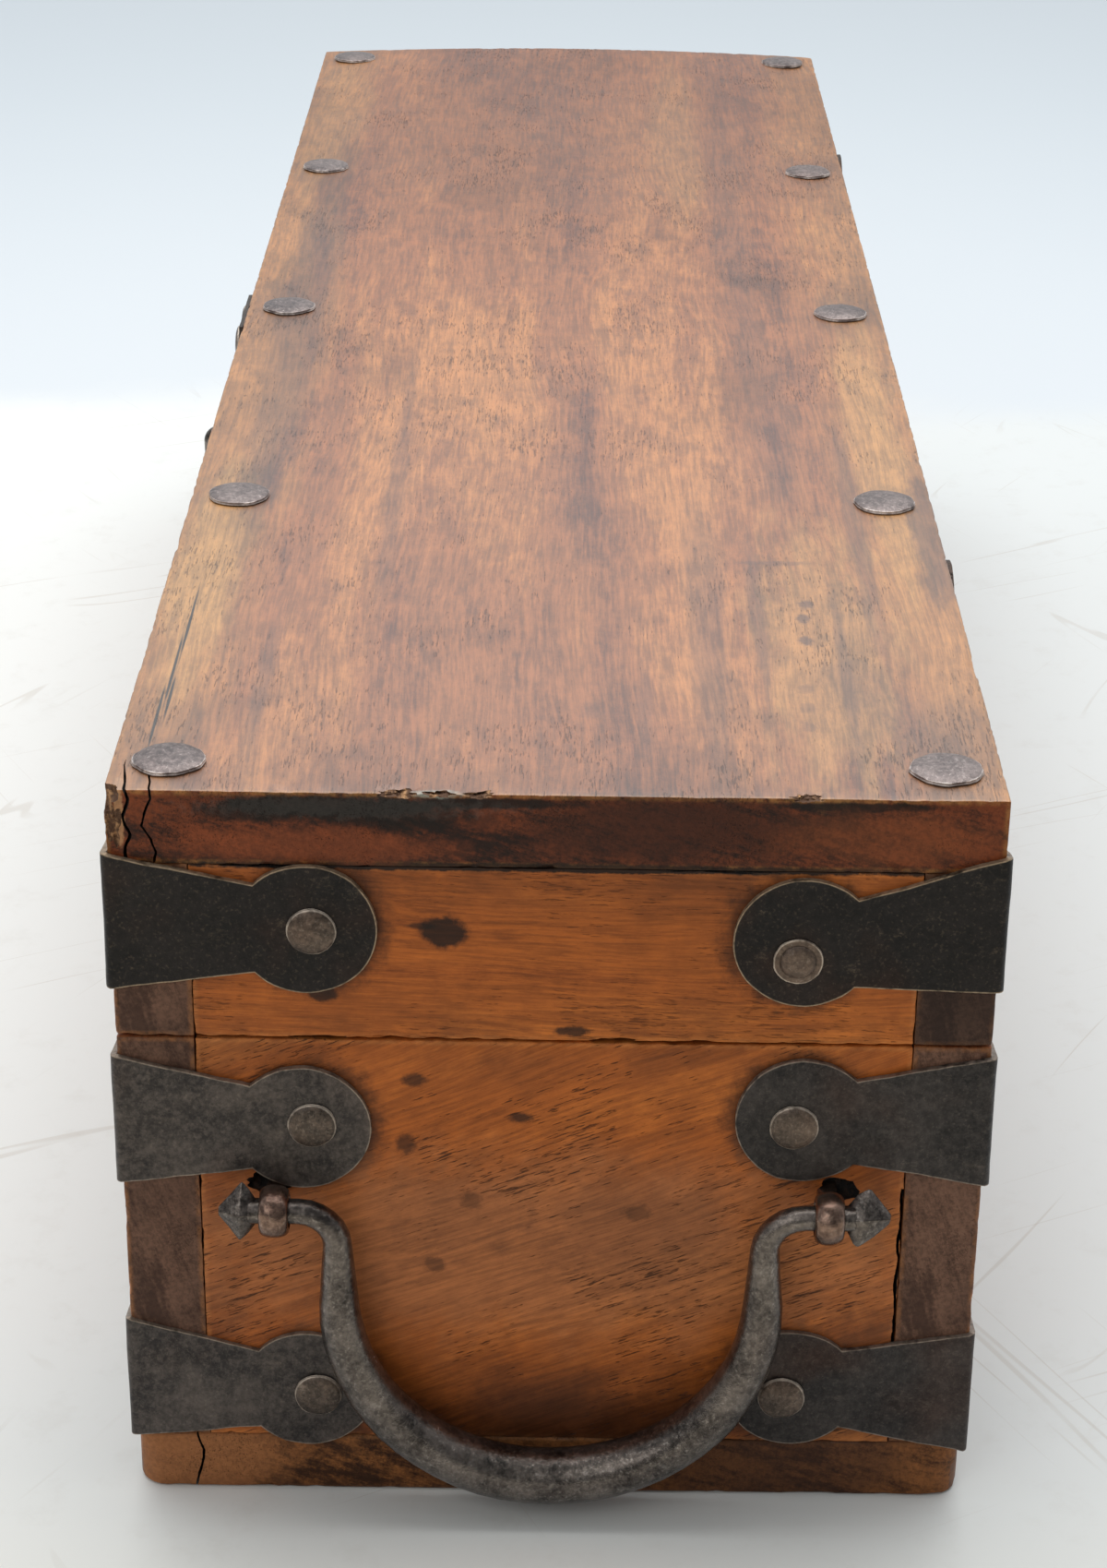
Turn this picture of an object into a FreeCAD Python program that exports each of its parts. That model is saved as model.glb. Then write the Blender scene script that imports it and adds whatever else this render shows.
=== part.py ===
import FreeCAD, Part
import math
import os
import re

import Sketcher

# Iron-bound hardwood box chest.  Millimetres, +Z up.
# The origin is the centre of the bottom face.  +X runs along the length to the
# right end, -Y is the front with the hasp, +Y is the rear with the hinges.

Vector = FreeCAD.Vector
Rotation = FreeCAD.Rotation
Placement = FreeCAD.Placement
Constraint = Sketcher.Constraint

X_AXIS = Vector(1, 0, 0)
Y_AXIS = Vector(0, 1, 0)
Z_AXIS = Vector(0, 0, 1)

# Driving dimensions: alias, value in millimetres, meaning.
DIMENSIONS = [
    # boards
    ("chest_length", 706, "outside length of the chest"),
    ("chest_width", 200, "outside width of the chest"),
    ("case_height", 126, "height of the case rim above the floor"),
    ("lid_height", 62, "height of the lid with its top board"),
    ("lid_gap", 0.4, "gap between the case rim and the lid rim"),
    ("side_board", 18, "thickness of the front and rear boards"),
    ("end_board", 18, "thickness of the boards that close the ends"),
    ("top_board", 18, "thickness of the top board"),
    ("floor_board", 16, "thickness of the bottom board"),
    ("floor_corner", 7, "radius of the bottom board's worn corners"),
    ("joint_gap", 0.05, "play of an end board between the side boards"),
    # corner straps
    ("strap_gauge", 1.4, "thickness of the corner straps and lock plates"),
    ("strap_bend", 1.2, "outer bend radius of a strap at the corner"),
    ("strap_root", 34, "width of a strap at the corner"),
    ("strap_neck", 22, "width of a strap where its lobe starts"),
    ("strap_reach", 43.5, "corner to the centre of a strap's lobe"),
    ("lobe_radius", 16, "radius of the round lobe"),
    ("nail_reach", 44.5, "corner to the nail of a strap"),
    ("lid_strap_reach", 45.5, "corner to the centre of a lid strap's lobe"),
    ("lid_nail_reach", 45.4, "corner to the nail of a lid strap"),
    ("lid_front_rise", 29.8, "lid rim to the middle of the front lid straps"),
    ("lid_front_droop", 1.3, "fall of the lobe of a front lid strap"),
    ("lid_front_slip", 0.2, "fall of the nail below that lobe's centre"),
    ("lid_rear_rise", 31.6, "lid rim to the middle of the rear lid straps"),
    ("lid_rear_droop", 5, "fall of the lobe of a rear lid strap"),
    ("lid_rear_slip", 4.3, "fall of the nail below that lobe's centre"),
    ("upper_front_fall", 21.3, "case rim down to the middle of a front strap"),
    ("upper_front_droop", 1.5, "fall of its lobe"),
    ("upper_front_slip", -1, "fall of its nail below the lobe's centre"),
    ("upper_rear_fall", 19.1, "case rim down to the middle of a rear strap"),
    ("upper_rear_droop", 0.2, "fall of its lobe"),
    ("upper_rear_slip", 1.4, "fall of its nail below the lobe's centre"),
    ("lower_front_rise", 33, "floor to the middle of a low front strap"),
    ("lower_front_droop", 3, "fall of its lobe"),
    ("lower_front_slip", 1, "fall of its nail below the lobe's centre"),
    ("lower_rear_rise", 31.2, "floor to the middle of a low rear strap"),
    ("lower_rear_droop", -1, "fall of its lobe"),
    ("lower_rear_slip", 2.4, "fall of its nail below the lobe's centre"),
    # nails
    ("nail_head", 5.8, "head radius of a strap nail"),
    ("nail_dome", 2, "head height of a strap nail"),
    ("nail_shank", 1.6, "shank radius of a strap nail"),
    ("nail_depth", 13, "depth of a strap nail in the wood"),
    ("nail_point", 2, "length of a nail's point, in radii of its shank"),
    ("nail_play", 0.05, "play round a shank in its hole"),
    ("stud_count", 5, "studs along each long edge of the top board"),
    ("stud_end_inset", 15, "end of the lid to the first stud"),
    ("stud_side_inset", 13, "long edge of the lid to the studs"),
    ("stud_head", 8.5, "head radius of a stud"),
    ("stud_dome", 2.2, "head height of a stud"),
    ("stud_shank", 2, "shank radius of a stud"),
    ("stud_depth", 36, "depth of a stud below the top face"),
    ("peg_count", 5, "nails along each long edge of the bottom board"),
    ("peg_end_inset", 62, "end of the chest to the first bottom nail"),
    ("peg_head", 4, "head radius of a bottom nail"),
    ("peg_dome", 1.4, "head height of a bottom nail"),
    ("peg_sink", 2, "depth of the seat of a bottom nail's head"),
    ("peg_depth", 40, "depth of a bottom nail above the floor"),
    # hinges
    ("hinge_inset", 148, "end of the chest to the middle of a hinge"),
    ("hinge_gauge", 1.8, "thickness of a hinge leaf"),
    ("knuckle_radius", 4.6, "outer radius of a hinge knuckle"),
    ("knuckle_clear", 0.2, "knuckle to the rear face of the chest"),
    ("knuckle_length", 12, "length of one of the three knuckles"),
    ("knuckle_gap", 0.3, "gap between two knuckles"),
    ("knuckle_notch", 5.2, "hinge axis to a leaf's edge beside a knuckle"),
    ("pin_radius", 2.3, "radius of a hinge pin"),
    ("pin_fit", 0.06, "play of a pin in its knuckles"),
    ("pin_head", 3.5, "radius of a peened pin end"),
    ("pin_peen", 1.4, "length of a peened pin end"),
    ("hinge_nail_near", 18, "hinge axis to the nearer nail of a leaf"),
    ("hinge_nail_far", 40, "hinge axis to the farther nail of a leaf"),
    # hasp and its two staples
    ("hasp_fall", 22, "case rim down to the hasp's axis"),
    ("hasp_offset", 6.2, "front face out to the hasp's axis"),
    ("hasp_gauge", 2.2, "thickness of the hasp"),
    ("hasp_neck", 6, "half width of the hasp at its knuckle"),
    ("hasp_neck_drop", 8, "axis down to the end of the narrow neck"),
    ("hasp_half", 12, "half width of the hasp round its slot"),
    ("hasp_shoulder_drop", 16, "axis down to the full width"),
    ("hasp_slot_drop", 36, "axis down to the middle of the slot"),
    ("slot_half_length", 13, "half length of the slot"),
    ("slot_half_width", 4, "half width of the slot"),
    ("hasp_knuckle", 4.2, "outer radius of the hasp's rolled end"),
    ("hasp_play", 0.6, "side play of the hasp on its staple"),
    ("wire_radius", 2, "radius of the staples' wire"),
    ("wire_bend", 3.2, "bend radius of the staples"),
    ("wire_depth", 14, "depth of the staples' legs in the wood"),
    ("lock_reach", 13.4, "front face out to the lock staple's crown"),
    ("lock_half_span", 7, "half distance between the lock staple's legs"),
    ("lock_lobe", 12.5, "radius of the plate round the lock staple"),
    ("lock_neck", 8.5, "half width of that plate above its lobe"),
    ("plate_margin", 1, "rim to the edge of a lock plate"),
    ("plate_nail_drop", 7.5, "edge of a lock plate to its nails"),
    ("plate_nail_half", 10.6, "half distance between a plate's two nails"),
    # handles
    ("eye_fall", 40.5, "case rim down to the handle axis"),
    ("eye_stand", 9, "end face out to the handle axis"),
    ("eye_spread", 64, "half distance between the two eyes of a handle"),
    ("eye_width", 7.2, "width of an eye along its axis"),
    ("eye_radius", 6.4, "outer radius of an eye's ring"),
    ("eye_bore", 3.8, "inner radius of an eye's ring"),
    ("eye_round", 1.9, "rounding of the ring's outer edges"),
    ("eye_shank", 4.8, "side of an eye's square shank"),
    ("clinch_length", 11, "length of a shank's end bent over inside"),
    ("clinch_gauge", 2.2, "thickness of a bent end"),
    ("bail_half_width", 49.5, "half width of the bail's bow"),
    ("bail_bend", 9, "bend radius beside an eye"),
    ("bail_shoulder", 24.5, "handle axis down to the start of the bow"),
    ("bail_neck_radius", 3, "bar radius in the eyes"),
    ("bail_bend_radius", 3.5, "bar radius under the bend"),
    ("bail_shoulder_radius", 4.8, "bar radius at the start of the bow"),
    ("bail_grip_radius", 6.9, "bar radius at the middle of the grip"),
    ("bail_end_gap", 0.5, "eye to the flattened end of the bail"),
    ("bail_end_widest", 3.6, "inner face of a flattened end to its ridge"),
    ("bail_end_length", 10.2, "length of a flattened end"),
    ("bail_end_half_height", 6.9, "half height of a flattened end"),
    ("bail_end_half_depth", 3.4, "half thickness of a flattened end"),
    ("bail_end_face", 2.9, "half size of a flattened end's inner face"),
    ("bail_end_tip", 1, "half size of a flattened end's tip"),
]

# Faces and heights that several pieces share.
RIGHT_END = "(chest_length / 2)"
LEFT_END = "(-chest_length / 2)"
FRONT_FACE = "(-chest_width / 2)"
REAR_FACE = "(chest_width / 2)"
LID_BASE = "(case_height + lid_gap)"
LID_TOP = "(case_height + lid_gap + lid_height)"
LID_RISE = "(lid_height - top_board)"
CASE_RISE = "(case_height - floor_board)"
HINGE_OFFSET = "(knuckle_radius + knuckle_clear)"
HINGE_HEIGHT = "(case_height + lid_gap / 2)"
HASP_HEIGHT = "(case_height - hasp_fall)"
LOCK_HEIGHT = "(case_height - hasp_fall + hasp_slot_drop)"
HASP_LEG = "(hasp_neck + hasp_play + wire_bend)"
EYE_HEIGHT = "(case_height - eye_fall)"
NAIL_HOLE = "(nail_shank + nail_play)"
WIRE_HOLE = "(wire_radius + nail_play)"

HALF_BARREL = "(3 * knuckle_length / 2)"

# Turns in degrees, and the steps of a bail's bar round its bends and its bow.
FULL_TURN = 360
HALF_TURN = 180
QUARTER_TURN = 90
BEND_STEPS = (0, 30, 60, 90)
BOW_STEP = 12

# How far two lengths may differ and still count as one.
TOLERANCE = 1e-4

# How a nail turns from +Z so that its head looks a way.
LOOKS = {
    "right": Rotation(Y_AXIS, QUARTER_TURN),
    "left": Rotation(Y_AXIS, -QUARTER_TURN),
    "rear": Rotation(X_AXIS, -QUARTER_TURN),
    "front": Rotation(X_AXIS, QUARTER_TURN),
    "up": Rotation(X_AXIS, 0),
    "down": Rotation(X_AXIS, HALF_TURN),
}

ALIAS_PATTERN = re.compile(r"\b(" + "|".join(alias for alias, _, _ in DIMENSIONS) + r")\b")

DOC = FreeCAD.newDocument("chest")
SUB_PARTS = []


# ---------------------------------------------------------------- the sheet

def fill_sheet():
    """Make the spreadsheet that holds every driving dimension."""
    sheet = DOC.addObject("Spreadsheet::Sheet", "sizes")
    for row, (alias, value, meaning) in enumerate(DIMENSIONS, start=1):
        sheet.set(f"A{row}", meaning)
        sheet.set(f"B{row}", str(value))
        sheet.setAlias(f"B{row}", alias)
    DOC.recompute()
    return sheet


SHEET = fill_sheet()


def formula(text):
    """Turn a formula in dimension names into one that reads the sheet."""
    return ALIAS_PATTERN.sub(r"sizes.\1", text)


def measure(text):
    """Work a formula out with the sheet's values."""
    return float(SHEET.evalExpression(formula(text)))


def point(place):
    """Work out a place given as three formulas."""
    return Vector(*(measure(text) for text in place))


def minus(text):
    """Reverse the sign of a formula."""
    return f"-({text})"


# ------------------------------------------------------------- body helpers

def keep(obj, name):
    """Label a finished sub-part and list it for writing."""
    obj.Label = name
    SUB_PARTS.append(obj)
    return obj


def bind_place(obj, place):
    """Bind an object's position to three formulas."""
    for letter, text in zip("xyz", place):
        obj.setExpression(f".Placement.Base.{letter}", formula(text))


def new_body(name, place, turn=0):
    """Start a body at a place, turned about the vertical."""
    body = DOC.addObject("PartDesign::Body", name)
    body.Placement = Placement(Vector(), Rotation(Z_AXIS, turn))
    bind_place(body, place)
    return keep(body, name)


def new_sketch(body, name, role, lift="0"):
    """Attach a sketch to one of a body's origin planes, lifted off it."""
    sketch = body.newObject("Sketcher::SketchObject", f"{body.Name}_{name}")
    plane = next(item for item in body.Origin.OriginFeatures if item.Role == role)
    sketch.AttachmentSupport = [(plane, "")]
    sketch.MapMode = "FlatFace"
    sketch.setExpression(".AttachmentOffset.Base.z", formula(lift))
    return sketch


def dimension(sketch, kind, where, text):
    """Add a constraint whose value follows a formula."""
    index = sketch.addConstraint(Constraint(kind, *where, measure(text)))
    sketch.renameConstraint(index, f"size_{index}")
    sketch.setExpression(f"Constraints.size_{index}", formula(text))


def pin_down(sketch, element, end, place):
    """Give an end of a sketch element its distances from the origin."""
    dimension(sketch, "DistanceX", (-1, 1, element, end), place[0])
    dimension(sketch, "DistanceY", (-1, 1, element, end), place[1])


def draw_polygon(sketch, corners):
    """Draw a closed outline through corners given as pairs of formulas."""
    spots = [Vector(measure(x), measure(y), 0) for x, y in corners]
    first = sketch.GeometryCount
    count = len(spots)
    for index in range(count):
        sketch.addGeometry(Part.LineSegment(spots[index], spots[(index + 1) % count]), False)
    for index in range(count):
        after = first + (index + 1) % count
        sketch.addConstraint(Constraint("Coincident", first + index, 2, after, 1))
        pin_down(sketch, first + index, 1, corners[index])


def draw_rectangle(sketch, left, low, right, high):
    """Draw a rectangle between two corners."""
    draw_polygon(sketch, [(left, low), (right, low), (right, high), (left, high)])


def draw_circle(sketch, centre, radius):
    """Draw a circle round a centre."""
    spot = Vector(measure(centre[0]), measure(centre[1]), 0)
    index = sketch.addGeometry(Part.Circle(spot, Z_AXIS, measure(radius)), False)
    pin_down(sketch, index, 3, centre)
    dimension(sketch, "Radius", (index,), radius)


def headed(heading, along, across):
    """Turn a place along and across a leg into a sketch's x and y."""
    if heading == "right":
        return along, across
    if heading == "left":
        return minus(along), across
    if heading == "up":
        return across, along
    return across, minus(along)


def draw_leg(sketch, heading, start, low, high, lobe, tip_radius, neck_half):
    """Draw a tapered leg that ends in a round lobe.

    The leg starts at the distance start with edges at low and high, and its
    lobe is centred at the pair lobe, along and across the leg.
    """
    along, across = lobe
    neck_along = f"({along} - sqrt({tip_radius} ^ 2 - ({neck_half}) ^ 2))"
    places = [
        headed(heading, start, low),
        headed(heading, neck_along, f"({across} - {neck_half})"),
        headed(heading, neck_along, f"({across} + {neck_half})"),
        headed(heading, start, high),
    ]
    root_low, neck_low, neck_high, root_high = [
        Vector(measure(x), measure(y), 0) for x, y in places]
    centre_place = headed(heading, along, across)
    centre = Vector(measure(centre_place[0]), measure(centre_place[1]), 0)
    angle_low = math.atan2(neck_low.y - centre.y, neck_low.x - centre.x)
    angle_high = math.atan2(neck_high.y - centre.y, neck_high.x - centre.x)
    low_first = (angle_high - angle_low) % math.tau > math.pi
    begin, finish = (angle_low, angle_high) if low_first else (angle_high, angle_low)
    if finish < begin:
        finish += math.tau
    circle = Part.Circle(centre, Z_AXIS, measure(tip_radius))
    first = sketch.GeometryCount
    sketch.addGeometry(Part.LineSegment(root_low, neck_low), False)
    sketch.addGeometry(Part.ArcOfCircle(circle, begin, finish), False)
    sketch.addGeometry(Part.LineSegment(neck_high, root_high), False)
    sketch.addGeometry(Part.LineSegment(root_high, root_low), False)
    lower, arc, upper, root = range(first, first + 4)
    low_end, high_end = (1, 2) if low_first else (2, 1)
    sketch.addConstraint(Constraint("Coincident", lower, 2, arc, low_end))
    sketch.addConstraint(Constraint("Coincident", arc, high_end, upper, 1))
    sketch.addConstraint(Constraint("Coincident", upper, 2, root, 1))
    sketch.addConstraint(Constraint("Coincident", root, 2, lower, 1))
    pin_down(sketch, lower, 1, places[0])
    pin_down(sketch, root, 1, places[3])
    pin_down(sketch, arc, 3, centre_place)
    dimension(sketch, "Radius", (arc,), tip_radius)
    sideways = "DistanceY" if heading in ("right", "left") else "DistanceX"
    pick = 1 if sideways == "DistanceY" else 0
    dimension(sketch, sideways, (-1, 1, arc, low_end), places[1][pick])
    dimension(sketch, sideways, (-1, 1, arc, high_end), places[2][pick])


def draw_slot(sketch, low, high, half_width):
    """Draw an upright round-ended slot between two end centres on the axis."""
    spots = [Vector(0, measure(low), 0), Vector(0, measure(high), 0)]
    radius = measure(half_width)
    side = Vector(radius, 0, 0)
    first = sketch.GeometryCount
    sketch.addGeometry(Part.ArcOfCircle(Part.Circle(spots[1], Z_AXIS, radius), 0, math.pi), False)
    sketch.addGeometry(Part.LineSegment(spots[1] - side, spots[0] - side), False)
    sketch.addGeometry(
        Part.ArcOfCircle(Part.Circle(spots[0], Z_AXIS, radius), math.pi, math.tau), False)
    sketch.addGeometry(Part.LineSegment(spots[0] + side, spots[1] + side), False)
    upper, left, lower, right = range(first, first + 4)
    for element, end, other, other_end in (
            (upper, 2, left, 1), (left, 2, lower, 1), (lower, 2, right, 1), (right, 2, upper, 1)):
        sketch.addConstraint(Constraint("Tangent", element, end, other, other_end))
    pin_down(sketch, upper, 3, ("0", high))
    dimension(sketch, "DistanceX", (-1, 1, lower, 3), "0")
    dimension(sketch, "DistanceY", (-1, 1, lower, 3), low)
    dimension(sketch, "Radius", (upper,), half_width)
    DOC.recompute()


def pad(body, sketch, length, midplane=False, backwards=False):
    """Raise a sketch into a solid."""
    feature = body.newObject("PartDesign::Pad", f"{sketch.Name}_pad")
    feature.Profile = sketch
    feature.Midplane = midplane
    feature.Reversed = backwards
    feature.setExpression("Length", formula(length))
    sketch.Visibility = False
    DOC.recompute()
    return feature


def pocket(body, sketch, depth, midplane=False, backwards=False):
    """Cut a sketch out of a body, and see that it removed something."""
    volume = body.Shape.Volume
    feature = body.newObject("PartDesign::Pocket", f"{sketch.Name}_pocket")
    feature.Profile = sketch
    feature.Midplane = midplane
    feature.Reversed = backwards
    feature.setExpression("Length", formula(depth))
    sketch.Visibility = False
    DOC.recompute()
    if not body.Shape.Volume < volume:
        raise RuntimeError(f"{feature.Name} cuts nothing")
    return feature


def edges_where(shape, test):
    """Name the edges whose two end points both pass a test."""
    names = []
    for index, edge in enumerate(shape.Edges, start=1):
        if all(test(vertex.Point) for vertex in edge.Vertexes):
            names.append(f"Edge{index}")
    return names


def fillet(body, name, test, radius):
    """Round the edges of a body's tip that pass a test."""
    base = body.Tip
    feature = body.newObject("PartDesign::Fillet", f"{body.Name}_{name}")
    feature.Base = (base, edges_where(base.Shape, test))
    feature.setExpression("Radius", formula(radius))
    DOC.recompute()
    return feature


def near(value, text):
    """Say whether a coordinate lies at a formula's value."""
    return abs(value - measure(text)) < TOLERANCE


# ---------------------------------------------------------------- the nails

class Nail:
    """One kind of nail, as formulas for its sizes."""

    def __init__(self, head, dome, shank, depth):
        self.head = head
        self.dome = dome
        self.shank = shank
        self.depth = depth

    def solid(self, seat):
        """Make a nail on +Z whose wood face is at zero and whose head sits at seat."""
        head = measure(self.head)
        dome = measure(self.dome)
        shank = measure(self.shank)
        top = seat + dome
        foot = -measure(self.depth)
        point_top = foot + measure("nail_point") * shank
        sphere = (head ** 2 + dome ** 2) / (2 * dome)
        half_way = Vector(head / 2, 0, top - sphere + math.sqrt(sphere ** 2 - head ** 2 / 4))
        edges = [
            Part.makeLine(Vector(0, 0, foot), Vector(shank, 0, point_top)),
            Part.makeLine(Vector(shank, 0, point_top), Vector(shank, 0, seat)),
            Part.makeLine(Vector(shank, 0, seat), Vector(head, 0, seat)),
            Part.Arc(Vector(head, 0, seat), half_way, Vector(0, 0, top)).toShape(),
            Part.makeLine(Vector(0, 0, top), Vector(0, 0, foot)),
        ]
        face = Part.Face(Part.Wire(edges))
        return face.revolve(Vector(), Z_AXIS, FULL_TURN)


STRAP_NAIL = Nail("nail_head", "nail_dome", "nail_shank", "nail_depth")
STUD = Nail("stud_head", "stud_dome", "stud_shank", "stud_depth")
PEG = Nail("peg_head", "peg_dome", "nail_shank", "peg_depth")


def nail_group(name, nail, spots, seat="0"):
    """Make a node of separate nails, each at its (place, look) spot."""
    solids = []
    for place, look in spots:
        solid = nail.solid(measure(seat))
        solid.Placement = Placement(point(place), LOOKS[look])
        solids.append(solid)
    group = DOC.addObject("Part::Feature", name)
    group.Shape = Part.makeCompound(solids)
    return keep(group, name)


def spaced_row(count, inset, offset, height):
    """Place points along both long edges, evenly between two insets."""
    places = []
    total = int(round(measure(count)))
    for side in (FRONT_FACE, REAR_FACE):
        inward = f"({side} + {offset})" if side == FRONT_FACE else f"({side} - {offset})"
        for index in range(total):
            share = f"{index} / ({count} - 1)"
            x = f"({LEFT_END} + {inset} + {share} * (chest_length - 2 * {inset}))"
            places.append((x, inward, height))
    return places


# ------------------------------------------------------- what drills boards

# For each row of straps: the height of their middle, and their sizes' prefix.
LEVELS = {
    "lid": (f"({LID_BASE} + lid_%s_rise)", "lid_%s"),
    "upper": ("(case_height - upper_%s_fall)", "upper_%s"),
    "lower": ("lower_%s_rise", "lower_%s"),
}


def strap_kind(end, side):
    """Name the set of strap sizes at a corner: opposite corners share one."""
    if end == "right":
        return side
    return "rear" if side == "front" else "front"


def strap_middle(level, end, side):
    """Give the height of the middle of a strap at the corner."""
    return LEVELS[level][0] % strap_kind(end, side)


def strap_size(level, end, side, word):
    """Name one of a strap's own sizes."""
    return f"{LEVELS[level][1] % strap_kind(end, side)}_{word}"


def strap_nail_spots(level, end, side):
    """Place a strap's two nails: on the end face, and on the long face."""
    droop = strap_size(level, end, side, "droop")
    slip = strap_size(level, end, side, "slip")
    height = f"({strap_middle(level, end, side)} - {droop} - {slip})"
    end_face = RIGHT_END if end == "right" else LEFT_END
    long_face = FRONT_FACE if side == "front" else REAR_FACE
    reach = "lid_nail_reach" if level == "lid" else "nail_reach"
    in_x = f"({end_face} - {reach})" if end == "right" else f"({end_face} + {reach})"
    in_y = f"({long_face} + {reach})" if side == "front" else f"({long_face} - {reach})"
    return [((end_face, in_y, height), end), ((in_x, long_face, height), side)]


CORNERS = [(end, side) for end in ("right", "left") for side in ("front", "rear")]
HINGES = {
    "right": "(chest_length / 2 - hinge_inset)",
    "left": "(-chest_length / 2 + hinge_inset)",
}


def hinge_nail_spots(leaf):
    """Place the nails of both hinges' lid leaves or case leaves."""
    spots = []
    for middle in HINGES.values():
        for reach in ("hinge_nail_near", "hinge_nail_far"):
            height = f"({HINGE_HEIGHT} + {reach})" if leaf == "lid" else f"({HINGE_HEIGHT} - {reach})"
            spots.append(((middle, REAR_FACE, height), "rear"))
    return spots


def plate_nail_spots(edge):
    """Place the two nails under the upper edge of a lock plate."""
    height = f"({edge} - plate_margin - plate_nail_drop)"
    return [((x, FRONT_FACE, height), "front") for x in (minus("plate_nail_half"), "plate_nail_half")]


CASE_STRAP_NAILS = [spot for level in ("upper", "lower") for end, side in CORNERS
                    for spot in strap_nail_spots(level, end, side)]
LID_STRAP_NAILS = [spot for end, side in CORNERS for spot in strap_nail_spots("lid", end, side)]
CASE_HINGE_NAILS = hinge_nail_spots("case")
LID_HINGE_NAILS = hinge_nail_spots("lid")
HASP_PLATE_LOBE = "(case_height - plate_margin - strap_reach)"
HASP_PLATE_NAILS = plate_nail_spots("case_height") + [(("0", FRONT_FACE, HASP_PLATE_LOBE), "front")]
LOCK_PLATE_NAILS = plate_nail_spots(LID_TOP)
STUDS = [(place, "up") for place in
         spaced_row("stud_count", "stud_end_inset", "stud_side_inset", LID_TOP)]
PEGS = [(place, "down") for place in
        spaced_row("peg_count", "peg_end_inset", "side_board / 2", "peg_sink")]
HASP_LEGS = [((x, FRONT_FACE, HASP_HEIGHT), "front") for x in (minus(HASP_LEG), HASP_LEG)]
LOCK_LEGS = [(("0", FRONT_FACE, f"({LOCK_HEIGHT} + {shift})"), "front")
             for shift in ("lock_half_span", minus("lock_half_span"))]


def facing(spots, look):
    """Keep the spots whose heads look one way."""
    return [spot for spot in spots if spot[1] == look]


# --------------------------------------------------------------- the boards

def board(name, low, size):
    """Make a rectangular board from its lowest corner and its size."""
    body = new_body(name, low)
    outline = new_sketch(body, "outline", "XY_Plane")
    draw_rectangle(outline, "0", "0", size[0], size[1])
    pad(body, outline, size[2])
    return body


def drill(body, name, low, size, spots, radius, depth):
    """Sink holes into the face of a board that the spots look out of."""
    look = spots[0][1]
    local = [tuple(f"({text} - {start})" for text, start in zip(place, low)) for place, _ in spots]
    if look in ("right", "left"):
        lift = size[0] if look == "right" else "0"
        sketch = new_sketch(body, name, "YZ_Plane", lift)
        centres = [(place[1], place[2]) for place in local]
        backwards = look == "left"
    elif look in ("front", "rear"):
        lift = minus(size[1]) if look == "rear" else "0"
        sketch = new_sketch(body, name, "XZ_Plane", lift)
        centres = [(place[0], place[2]) for place in local]
        backwards = look == "rear"
    else:
        lift = size[2] if look == "up" else "0"
        sketch = new_sketch(body, name, "XY_Plane", lift)
        centres = [(place[0], place[1]) for place in local]
        backwards = look == "down"
    for centre in centres:
        draw_circle(sketch, centre, radius)
    pocket(body, sketch, depth, backwards=backwards)


def make_bottom_board():
    """The board under the case, with worn corners and nailed from below."""
    low = (LEFT_END, FRONT_FACE, "0")
    size = ("chest_length", "chest_width", "floor_board")
    body = board("bottom_board", low, size)

    def upright_corner(spot):
        at_end = near(spot.x, "0") or near(spot.x, "chest_length")
        at_side = near(spot.y, "0") or near(spot.y, "chest_width")
        return at_end and at_side

    def upright(edge):
        return abs(edge.Vertexes[0].Point.z - edge.Vertexes[1].Point.z) > TOLERANCE

    base = body.Tip
    corners = [name for name in edges_where(base.Shape, upright_corner)
               if upright(base.Shape.getElement(name))]
    feature = body.newObject("PartDesign::Fillet", "bottom_board_worn")
    feature.Base = (base, corners)
    feature.setExpression("Radius", formula("floor_corner"))
    DOC.recompute()
    drill(body, "shanks", low, size, PEGS, NAIL_HOLE, "floor_board")
    drill(body, "heads", low, size, PEGS, "peg_head + nail_play", "peg_sink")


def make_case_boards():
    """The case: front and rear boards at full length, and two ends between."""
    rise_size = ("chest_length", "side_board", CASE_RISE)
    for side, look in (("front", "front"), ("rear", "rear")):
        y_low = FRONT_FACE if side == "front" else f"({REAR_FACE} - side_board)"
        low = (LEFT_END, y_low, "floor_board")
        body = board(f"case_{side}_board", low, rise_size)
        nails = facing(CASE_STRAP_NAILS, look)
        if side == "rear":
            nails = nails + CASE_HINGE_NAILS
        else:
            nails = nails + HASP_PLATE_NAILS
        drill(body, "nails", low, rise_size, nails, NAIL_HOLE, "nail_depth + nail_play")
        if side == "front":
            drill(body, "staple", low, rise_size, HASP_LEGS, WIRE_HOLE, "wire_depth + nail_play")
        pegs = [spot for spot in PEGS if (measure(spot[0][1]) < 0) == (side == "front")]
        drill(body, "pegs", low, rise_size, pegs, NAIL_HOLE,
              "peg_depth + peg_sink - floor_board + nail_play")
    for end in ("right", "left"):
        make_end_board(f"case_{end}_end", end, "floor_board", CASE_RISE, CASE_STRAP_NAILS, True)


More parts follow.
